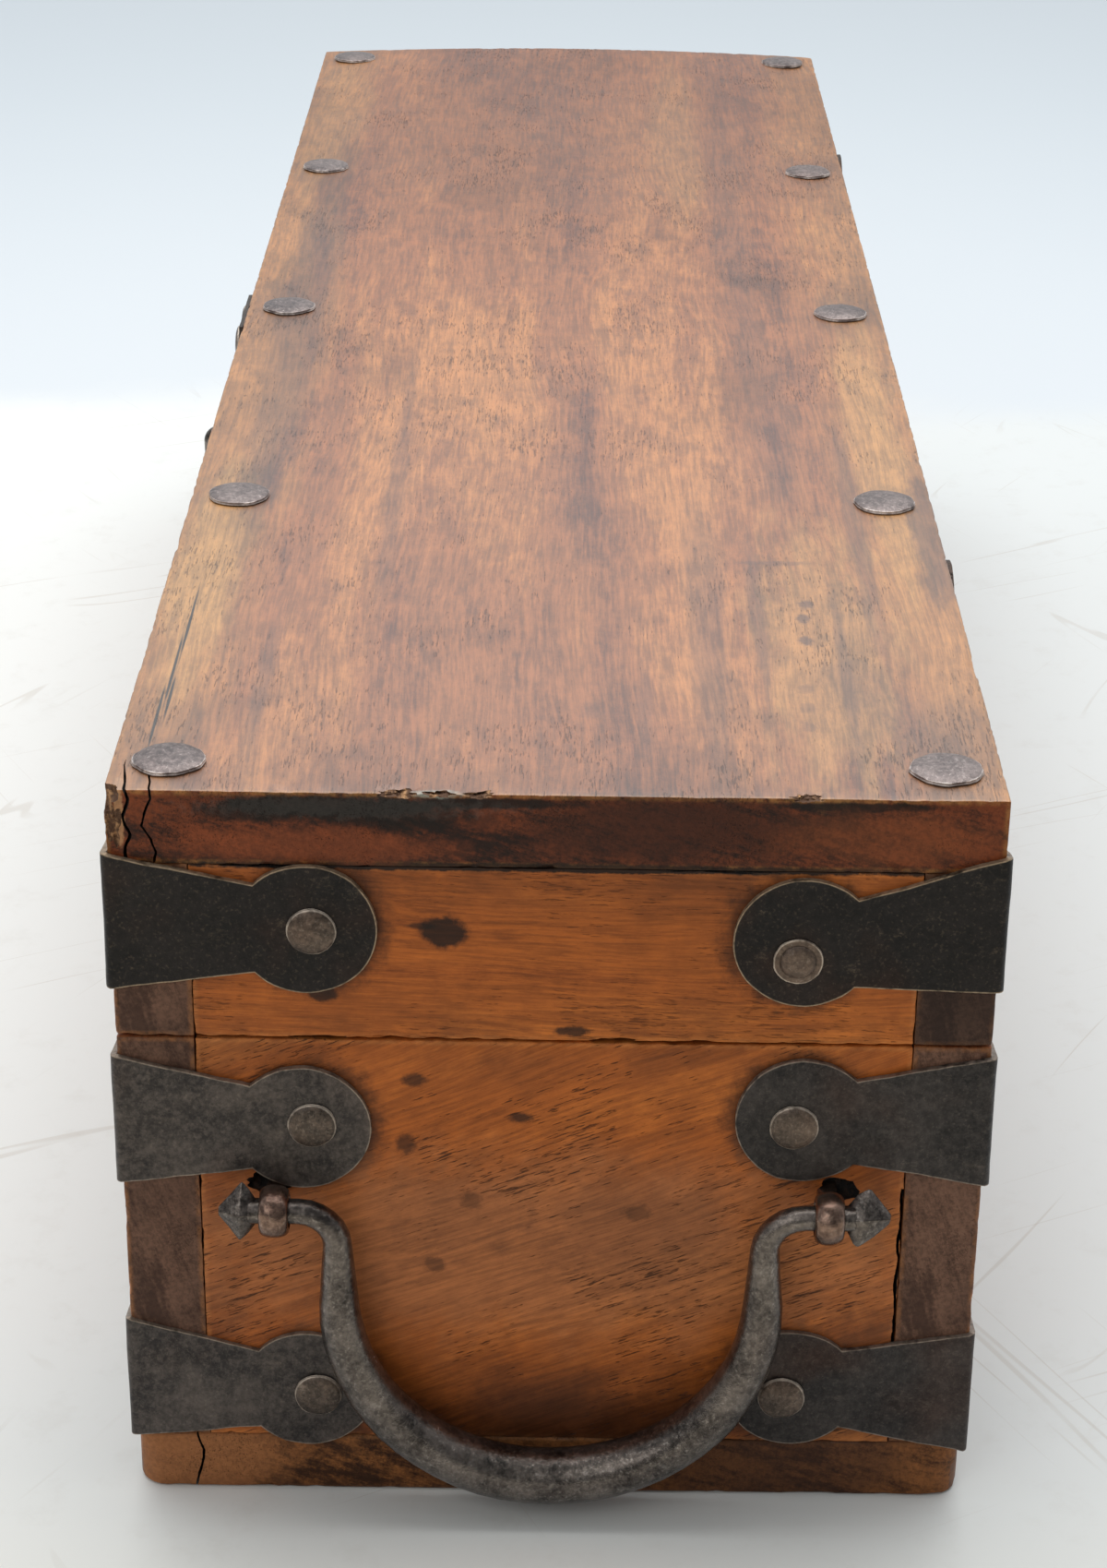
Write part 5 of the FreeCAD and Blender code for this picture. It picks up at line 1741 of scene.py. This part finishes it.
@dataclass
class Chest:
    """The whole chest: its boards, its straps, its nails and its fittings."""

    lid_straps: list[Strap] = field(init=False)
    case_straps: list[Strap] = field(init=False)

    def __post_init__(self) -> None:
        """List the straps in the order of their nails."""
        corners = [(end, side) for end in End for side in Side]
        self.lid_straps = [Strap(Level.LID, end, side, LID_IRON, reach=0.0455,
                                 nail_reach=0.0454) for end, side in corners]
        # Front case straps take the lit copy of the iron and rear ones the shaded copy: painted
        # light and shade.
        finishes = {Side.FRONT: LIT_CASE_IRON, Side.REAR: SHADED_CASE_IRON}
        self.case_straps = [Strap(Level.UPPER, end, side, finishes[side])
                            for end, side in corners]
        self.case_straps += [Strap(Level.LOWER, end, side, finishes[side], lift=0.0, sink=1.6)
                             for end, side in corners]

    @staticmethod
    def fringes(straps: list[Strap]) -> list[Stain]:
        """List the painted contact shadows, dark rings on the wood round the lobes at the right
        end.

        Args:
            straps: The straps.

        Returns:
            The painted contact shadows.
        """
        # Painted contact shadow: a dark ring just outside each lobe.
        return [Stain(tuple(strap.lobe_centre), (0.005, 0.0178, 0.0178), CHAR_AND_SHADOW, 0.7, 0.3, 240, 1,
                      0.35)
                for strap in straps if strap.end is End.RIGHT]

    @staticmethod
    def top_board() -> Board:
        """Make ready the top board, with its stains, cracks and chips.

        Returns:
            The board.
        """
        near, top, joint = HALF_LENGTH, LID_TOP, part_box("lid_top_board")[0].z
        hairlines = ((0.258, -0.0910, 0.024), (0.287, -0.0917, 0.022), (0.313, -0.0926, 0.018),
                     (0.303, -0.0908, 0.012))
        dots = ((0.2407, 0.0616), (0.2495, 0.0605), (0.2640, 0.0600), (0.2935, 0.0585),
                (0.3040, 0.0583), (0.3145, 0.0578))
        stains = (
            *top_marks(
                (0.27, 0.064, 0.08, 0.017, OCHRE, 0.45, 1.0, 160, 6),
                (0.12, 0.088, 0.12, 0.008, OCHRE, 0.45, 1.0, 160, 6),
                (0.22, -0.09, 0.08, 0.009, OCHRE, 0.6, 1.0, 160, 6),
                (-0.25, -0.088, 0.1, 0.012, OCHRE, 0.4, 0.8, 80, 5),
                (-0.22, 0.04, 0.12, 0.01, OCHRE, 0.4, 0.8, 80, 5),
                (-0.1, 0.056, 0.15, 0.006, SMOKE, 0.3, 0.8, 90, 6),
                (0.1, 0.06, 0.08, 0.007, SMOKE, 0.2, 0.8, 90, 5),
                (0.0, -0.082, 0.2, 0.008, SMOKE, 0.5, 0.8, 90, 6),
                (0.26, 0.036, 0.09, 0.005, SMOKE, 0.4, 0.9, 130, 6),
                (0.32, 0.088, 0.025, 0.012, SMOKE, 0.3, 1.2, 130, 3),
                (0.25, 0.049, 0.06, 0.0022, SMOKE, 0.5, 0.8, 200, 8),
                (0.28, 0.0685, 0.05, 0.0018, SMOKE, 0.45, 0.8, 220, 8),
                (0.19, 0.078, 0.09, 0.0026, SMOKE, 0.45, 0.8, 200, 8),
                (0.31, 0.020, 0.03, 0.0020, SMOKE, 0.35, 0.9, 220, 8),
                (0.30, -0.070, 0.05, 0.0022, SMOKE, 0.4, 0.9, 220, 8),
                (0.15, -0.045, 0.10, 0.0026, SMOKE, 0.35, 0.8, 160, 9),
                (0.29, 0.07, 0.014, 0.008, SMOKE, 0.25, 1.3, 160, 2),
                (0.2, 0.098, 0.05, 0.006, SMOKE, 0.6, 1.2, 130, 3)),
            *(Stain((x, y, top), (reach, 0.00036, 0.003), PITCH, 1.0, 0.45, 420, 7, 0.6)
              for x, y, reach in hairlines),
            *top_marks(
                (-0.25, 0.0, 0.16, 0.12, tint(120, 76, 50), 0.55, 0.3, 20),
                (0.307, 0.0075, 0.005, 0.003, SMOKE, 0.3, 1.2, 240)),
            Stain((0.213, 0.055, top), (0.0016, 0.011, 0.002), SMOKE, 0.4, 1.2, 240),
            *(Stain((x, y, top), (0.003, 0.0019, 0.002), SMOKE, 0.7 if x < 0.28 else 0.4, 1.1, 330)
              for x, y in dots),
            *end_marks(
                (-0.052, top - 0.0034, 0.003, 0.026, 0.0026, CHAR_AND_SHADOW, 0.95, 0.7, 230, 1, 0.5),
                (-0.015, top - 0.0022, 0.003, 0.022, 0.0014, CHAR_AND_SHADOW, 0.9, 0.7, 260, 1, 0.5),
                (-0.067, top - 0.0048, 0.003, 0.0125, 0.0027, CHAR_AND_SHADOW, 0.85, 0.5, 230, 1, 0.5),
                (-0.036, top - 0.0058, 0.003, 0.019, 0.0038, CHAR_AND_SHADOW, 0.8, 0.8, 230, 1, 0.6),
                (0.067, top - 0.002, 0.003, 0.018, 0.0012, CHAR_AND_SHADOW, 0.85, 0.8, 260, 1, 0.5),
                # Painted sheen: faint grey flecks over the char.
                (-0.046, top - 0.0036, 0.003, 0.034, 0.0026, CHAR_SHEEN_GREY, 0.2, 1.6, 420, 1, 0.6),
                (0.0, joint, 0.004, 0.11, 0.0012, CHAR_AND_SHADOW, 0.85, 0.9, 240, 1, 0.6),
                (0.02, top - 0.008, 0.003, 0.036, 0.008, tint(46, 26, 20), 0.7, 0.8, 60),
                (-0.055, top - 0.013, 0.003, 0.034, 0.0045, RUSSET, 0.65, 0.8, 80),
                (0.075, top - 0.01, 0.003, 0.024, 0.007, tint(128, 70, 38), 0.5, 0.9, 60),
                # Painted highlight: a pale cool spot on the near top arris.
                (-0.028, top, 0.0022, 0.008, 0.001, tint(150, 156, 146), 0.7, 0.9, 300),
                (-0.0966, top - 0.006, 0.003, 0.0011, 0.0075, SPLINTER, 0.8, 0.9, 520, 1, 0.5)),
            Stain((near - 0.002, -0.0968, top), (0.005, 0.0013, 0.003), SPLINTER, 0.7, 0.9, 520,
                  1, 0.5))
        cuts = (
            Crack((near - 0.0173, -0.0885, top - 0.0187), (near + 0.0021, -0.0883, top + 0.0012),
                  -0.0893, -0.0024, (0.0, -0.0003, -0.0014, -0.0021, -0.0005, 0.0008, 0.0002),
                  0.0003, 7.7),
            Crack((near - 0.016, -0.0949, top - 0.0185), (near + 0.002, -0.0947, top + 0.001),
                  -0.0952, -0.0015, (0.0, 0.0008, -0.0004, 0.0012, -0.0006, 0.0004), 0.0004, 7.7),
            Chip((near + 0.001, -0.1005, top - 0.001), (0.006, 0.0035, 0.005), 3.0, fresh=True),
            Chip((near + 0.0005, -0.0982, top - 0.0085), (0.0022, 0.0022, 0.0046), 5.0, 0.5,
                 True),
            Chip((near, -0.0345, top), (0.0026, 0.0042, 0.0011), 8.0, 0.6, True),
            Chip((near, -0.0262, top), (0.0022, 0.0034, 0.0009), 11.0, 0.6, True),
            Chip((near, -0.0170, top), (0.0022, 0.0034, 0.0009), 15.0, 0.6, True),
            Chip((near, 0.0552, top), (0.0026, 0.0036, 0.0009), 13.0, 0.6, True))
        return Board("lid_top_board", "lid", "lid_wood", TOP_WOOD, 1.3, step=0.004, crown=0.0019,
                     ragged=0.0004, studs=True, stains=stains, cuts=cuts)

    def lid_end(self) -> Board:
        """Make ready the lid's right end board, with its knots and worn seams.

        Returns:
            The board.
        """
        near, seam, joint = HALF_LENGTH, RIM[1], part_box("lid_top_board")[0].z
        stains = (
            *self.fringes(self.lid_straps),
            *end_marks(
                (0.0, joint, 0.004, 0.11, 0.0011, CHAR_AND_SHADOW, 0.95, 0.8, 260, 1, 0.5),
                (-0.0252, 0.1539, 0.005, 0.0056, 0.0042, BLACK, 0.92, 0.55, 260, 1, 0.5),
                (-0.0300, 0.1555, 0.004, 0.0036, 0.0009, BLACK, 0.7, 0.4, 300),
                (-0.0524, 0.1379, 0.004, 0.0034, 0.0021, BLACK, 0.85, 0.5, 300, 1, 0.5),
                (0.0041, 0.1289, 0.004, 0.0042, 0.0014, BLACK, 0.85, 0.5, 300, 1, 0.5)))
        cuts = (
            Chip((near, -0.0640, joint), (0.003, 0.009, 0.0007), 5.0, 0.7),
            Chip((near, 0.0380, joint), (0.003, 0.012, 0.0006), 6.0, 0.7),
            Chip((near, -0.0537, seam), (0.003, 0.007, 0.0007), 2.0, 0.5),
            Chip((near, 0.0146, seam), (0.003, 0.007, 0.0008), 4.0, 0.5))
        return Board("lid_right_end", "lid", "end_wood", END_WOOD, 2.0, step=0.005,
                     stains=stains, cuts=cuts)

    def case_end(self) -> Board:
        """Make ready the case's right end board, with its specks and the handle's holes.

        Returns:
            The board.
        """
        near = HALF_LENGTH
        stains = (
            *self.fringes(self.case_straps),
            *end_marks(
                (0.0, 0.07, 0.004, 0.1, 0.026, tint(172, 112, 72), 0.6, 0.6, 60),
                (0.02, 0.075, 0.004, 0.024, 0.016, UMBER, 0.28, 1.3, 150),
                (-0.022, 0.08, 0.004, 0.016, 0.012, UMBER, 0.22, 1.3, 150),
                # Painted shade from the bail, with some dirt: a dark band low across the end board
                # round the grip.
                (0.004, 0.021, 0.004, 0.054, 0.016, tint(48, 28, 20), 0.82, 0.7, 70, 1, 1.5),
                (0.074, 0.035, 0.004, 0.012, 0.02, tint(60, 40, 30), 0.6, 0.8, 80),
                (-0.0317, 0.1157, 0.004, 0.0028, 0.0018, BLACK, 0.75, 0.8, 360),
                (-0.034, 0.0984, 0.004, 0.0024, 0.0028, BLACK, 0.7, 0.9, 360),
                (-0.0073, 0.1058, 0.004, 0.0028, 0.0014, BLACK, 0.8, 0.7, 360),
                (-0.019, 0.0835, 0.003, 0.003, 0.0024, BLACK, 0.45, 1.3, 300),
                (0.0198, 0.0803, 0.003, 0.0032, 0.0022, BLACK, 0.45, 1.3, 300),
                (-0.0277, 0.0655, 0.003, 0.0026, 0.0022, BLACK, 0.5, 1.3, 300)))
        cuts = (
            Crack((near - 0.01, 0.0814, 0.0335), (near + 0.001, 0.0816, 0.088), 0.0816, 0.0,
                  (0.0001, -0.0002, 0.0), 0.00042, 2.0),
            Chip((near, -0.0662, 0.0876), (0.0036, 0.0048, 0.0030), 7.0, 0.25),
            Chip((near, 0.0665, 0.0876), (0.0036, 0.0050, 0.0032), 9.0, 0.25))
        return Board("case_right_end", "case", "end_wood", CASE_END_WOOD, 3.0, step=0.005,
                     stains=stains, cuts=cuts)

    @staticmethod
    def base_board() -> Board:
        """Make ready the bottom board, with its round corners and its split.

        Returns:
            The board.
        """
        near = HALF_LENGTH
        stains = end_marks(
            (-0.085, 0.008, 0.012, 0.02, 0.02, tint(166, 110, 70), 0.75, 0.6, 60),
            (0.055, 0.01, 0.012, 0.04, 0.014, tint(62, 42, 34), 0.65, 0.7, 60))
        split = Crack((near - 0.03, -0.0842, -0.001), (near + 0.001, -0.084, 0.0165), -0.0845,
                      0.001, (-0.001, 0.0006, 0.0, -0.0016), 0.0003, 6.0)
        return Board("bottom_board", "case", "base_wood", BASE_WOOD, 4.0, step=0.009,
                     corner=0.007, ragged=0.0009, stains=tuple(stains), cuts=(split,))

    def boards(self) -> list[Board]:
        """List the ten boards with their own marks.

        Returns:
            The boards.
        """
        shade = Stain((HALF_LENGTH, 0.092, 0.148), (0.006, 0.02, 0.03), tint(38, 29, 27), 0.75)
        return [
            self.top_board(), self.lid_end(), self.case_end(), self.base_board(),
            Board("lid_front_board", "lid", "side_wood", SIDE_WOOD, 5.0),
            Board("lid_rear_board", "lid", "side_wood", SIDE_WOOD, 6.0, stains=(shade,)),
            Board("case_front_board", "case", "side_wood", SIDE_WOOD, 7.0),
            Board("case_rear_board", "case", "side_wood", SIDE_WOOD, 8.0),
            Board("lid_left_end", "lid", "end_wood", END_WOOD, 9.0),
            Board("case_left_end", "case", "end_wood", CASE_END_WOOD, 10.0)]

    def nail_groups(self) -> list[NailGroup]:
        """List the groups of nails, each at its spots.

        Returns:
            The groups.
        """
        hinge_x = (0.205, -0.205)
        leaf_rows = (0.018, 0.04)
        rear = HALF_WIDTH
        axis = (RIM[0] + RIM[1]) / 2
        plate_x = (-0.0106, 0.0106)
        hasp_high, hasp_low, lock_row = 0.1175, 0.0815, 0.1799
        peg_pitch, peg_row = 0.1455, 0.091
        studs = [(Vector((STUD_PITCH * step, side * STUD_ROW, LID_TOP)), Facing.UP)
                 for side in (-1, 1) for step in range(-2, 3)]
        pegs = [(Vector((peg_pitch * step, side * peg_row, 0.002)), Facing.DOWN)
                for side in (-1, 1) for step in range(-2, 3)]
        return [
            NailGroup("case_strap_nails", "case", STRAP_NAIL, NAIL_IRON,
                      [spot for strap in self.case_straps for spot in strap.nails()],
                      STRAP_GAUGE),
            NailGroup("lid_strap_nails", "lid", STRAP_NAIL, NAIL_IRON,
                      [spot for strap in self.lid_straps for spot in strap.nails()],
                      STRAP_GAUGE, ringed=(2, 5)),
            NailGroup("case_hinge_nails", "case", STRAP_NAIL, NAIL_IRON,
                      [(Vector((x, rear, axis - drop)), Facing.REAR)
                       for x in hinge_x for drop in leaf_rows], LEAF_GAUGE),
            NailGroup("lid_hinge_nails", "lid", STRAP_NAIL, NAIL_IRON,
                      [(Vector((x, rear, axis + rise)), Facing.REAR)
                       for x in hinge_x for rise in leaf_rows], LEAF_GAUGE),
            NailGroup("hasp_plate_nails", "case", STRAP_NAIL, NAIL_IRON,
                      [(Vector((x, -rear, hasp_high)), Facing.FRONT) for x in plate_x]
                      + [(Vector((0, -rear, hasp_low)), Facing.FRONT)], STRAP_GAUGE),
            NailGroup("lock_plate_nails", "lid", STRAP_NAIL, NAIL_IRON,
                      [(Vector((x, -rear, lock_row)), Facing.FRONT) for x in plate_x],
                      STRAP_GAUGE),
            NailGroup("lid_studs", "lid", STUD, SHEENED_STUD_IRON, studs),
            NailGroup("bottom_nails", "case", PEG, NAIL_IRON, pegs),
        ]

    def fittings(self) -> list[Reworked]:
        """List the hinges, the plates, the hasp and the staples.

        Returns:
            The fittings.
        """
        pieces = []
        for end in End:
            pieces += [
                Reworked(f"case_hinge_leaf_{end.word}", "case", "strap_iron", FITTING_IRON),
                Reworked(f"lid_hinge_leaf_{end.word}", "lid", "strap_iron", FITTING_IRON),
                Reworked(f"hinge_pin_{end.word}", "case", "nail_iron", NAIL_IRON)]
        pieces += [
            Reworked("hasp_plate", "case", "strap_iron", FITTING_IRON),
            Reworked("lock_plate", "lid", "strap_iron", FITTING_IRON),
            Reworked("hasp", "hasp", "hasp_iron", FITTING_IRON, arris=0.0005),
            Reworked("hasp_staple", "case", "hasp_iron", HANDLE_IRON, arris=0.0),
            Reworked("lock_staple", "lid", "hasp_iron", HANDLE_IRON, arris=0.0)]
        return pieces

    def build(self) -> None:
        """Make every piece in order."""
        for board in self.boards():
            board.build()
        for strap in self.lid_straps + self.case_straps:
            strap.build()
        for group in self.nail_groups():
            group.build()
        for end in End:
            for side in Side:
                Eye(end, side, EYE_IRON).build()
            Bail(end, HANDLE_IRON).build()
        for fitting in self.fittings():
            fitting.build()


# --------------------------------------------------------------- the studio

@dataclass
class Studio:
    """A plain pale floor, soft lamps and the camera."""

    camera_place: Triple = (1.0109, 0.0010, 0.5045)
    pitch: float = 0.4444
    yaw: float = 0.00272
    roll: float = 0.01184
    lens: float = 76.28
    far_light: float = 1.1
    near_light: float = 0.25
    low_share: float = 0.6

    def camera(self) -> None:
        """Set the camera up, looking down along the chest."""
        forward = Vector((-math.cos(self.pitch), 0.0, -math.sin(self.pitch)))
        up = Vector((-math.sin(self.pitch), 0.0, math.cos(self.pitch)))
        right = Vector((0.0, 1.0, 0.0))
        turn = Matrix.Rotation(self.yaw, 3, "Z")
        forward, up, right = turn @ forward, turn @ up, turn @ right
        across = math.cos(self.roll) * right + math.sin(self.roll) * up
        upward = -math.sin(self.roll) * right + math.cos(self.roll) * up
        data = bpy.data.cameras.new("camera")
        data.lens = self.lens
        data.sensor_width = 36.0
        data.sensor_fit = "AUTO"
        data.clip_start = 0.01
        eye = bpy.data.objects.new("camera", data)
        turned = Matrix((across, upward, -forward)).transposed().to_4x4()
        eye.matrix_world = Matrix.Translation(self.camera_place) @ turned
        bpy.context.scene.collection.objects.link(eye)
        bpy.context.scene.camera = eye

    def lamp(self, name: str, place: Triple, aim: Triple, size: float, power: float,
             colour: Triple = (1.0, 1.0, 1.0)) -> None:
        """Hang one soft square lamp.

        Args:
            name: The lamp's name.
            place: Where it hangs.
            aim: What it points at.
            size: Its side.
            power: Its power in watts.
            colour: Its colour.
        """
        data = bpy.data.lights.new(name, "AREA")
        data.size = size
        data.energy = power
        data.color = colour
        lamp = bpy.data.objects.new(name, data)
        lamp.location = place
        aimed = Vector(aim) - Vector(place)
        lamp.rotation_euler = aimed.to_track_quat("-Z", "Y").to_euler()
        bpy.context.scene.collection.objects.link(lamp)

    def floor(self) -> None:
        """Lay the floor, cooler and paler away from the camera, with painted light and shade in
        its colour.
        """
        bm = bmesh.new()
        bmesh.ops.create_grid(bm, x_segments=8, y_segments=8, size=6.0)
        piece = loose_object(bm, "floor", 0)
        shader = Shader("pale_floor")
        along, across, _ = shader.parts(shader.place)
        cloud = shader.noise(shader.place, (5.0,) * 3, 4.0, 0.6)
        # Painted light: the floor brighter on the left, the side the lamps light more.
        side = shader.smooth(across, -0.35, 0.35)
        colour = shader.blend(side, tint(236, 238, 236), tint(224, 228, 228))
        # Painted shade: warmer and darker towards the camera, in front of the chest's end.
        near = shader.smooth(along, 0.32, 0.5, 0.0, 0.45)
        colour = shader.blend(near, colour, tint(214, 200, 170))
        mottle = shader.smooth(shader.noise(shader.place, (60.0,) * 3, 5.0, 0.7), 0.5, 0.75,
                               0.0, 0.12)
        colour = shader.blend(mottle, colour, tint(190, 184, 174))
        for angle, scale in ((0.5, 22.0), (1.1, 30.0), (-0.5, 26.0)):
            turned = shader.turn(shader.place, "Z", angle)
            lines = shader.noise(turned, (1.6, scale, 1.0), 2.0, 0.5)
            lines = shader.math("ABSOLUTE", shader.math("SUBTRACT", lines, 0.5))
            some = shader.noise(turned, (9.0, 14.0, 9.0), 2.0, 0.6)
            mask = shader.math("MULTIPLY", shader.smooth(lines, 0.004, 0.0015),
                               shader.smooth(some, 0.52, 0.62, 0.0, 0.22))
            colour = shader.blend(mask, colour, tint(172, 158, 138))
        # Painted falloff of light: the far floor and backdrop cooler, darker further back.
        depth = shader.total((along, 1.0), (cloud, 0.12))
        far_falloff = shader.smooth(depth, -0.3, -1.1)
        pale = shader.blend(far_falloff, tint(219, 225, 230), tint(210, 218, 224))
        colour = shader.blend(shader.smooth(depth, -0.36, -0.44), colour, pale)
        shader.give("Base Color", colour)
        shader.give("Roughness", 0.9)
        shader.give("Specular IOR Level", 0.15)
        piece.data.materials.append(shader.material)

    def world(self) -> None:
        """Fill the room with light, dimmer from the camera's side."""
        world = bpy.data.worlds.new("room")
        world.use_nodes = True
        bpy.context.scene.world = world
        nodes, links = world.node_tree.nodes, world.node_tree.links
        ways = nodes.new("ShaderNodeTexCoord")
        split = nodes.new("ShaderNodeSeparateXYZ")
        links.new(ways.outputs["Generated"], split.inputs[0])
        levels = []
        for axis, limits in ((0, (-0.5, 0.6, self.far_light, self.near_light)),
                             (2, (0.15, 0.5, self.low_share, 1.0))):
            level = nodes.new("ShaderNodeMapRange")
            level.interpolation_type = "SMOOTHSTEP"
            links.new(split.outputs[axis], level.inputs[0])
            for index, value in enumerate(limits, start=1):
                level.inputs[index].default_value = value
            levels.append(level)
        both = nodes.new("ShaderNodeMath")
        both.operation = "MULTIPLY"
        for level, socket in zip(levels, both.inputs):
            links.new(level.outputs[0], socket)
        room = nodes["Background"]
        room.inputs[0].default_value = (0.95, 0.975, 1.0, 1.0)
        links.new(both.outputs[0], room.inputs[1])

    def build(self) -> None:
        """Set everything up."""
        self.camera()
        self.floor()
        self.world()
        self.lamp("overhead", (-0.3, 0.0, 1.7), (0.0, 0.0, 0.1), 1.6, 22.0, (1.0, 0.99, 0.97))
        self.lamp("front", (1.5, -0.7, 1.0), (0.3, 0.0, 0.1), 1.0, 5.0, (1.0, 0.98, 0.95))
        bpy.context.scene.view_settings.view_transform = "Standard"


def main() -> None:
    """Build the chest in its studio."""
    logging.basicConfig(level=logging.INFO, format="%(name)s: %(message)s")
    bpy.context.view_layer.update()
    Studio().build()
    Chest().build()


if __name__ == "__main__":
    main()
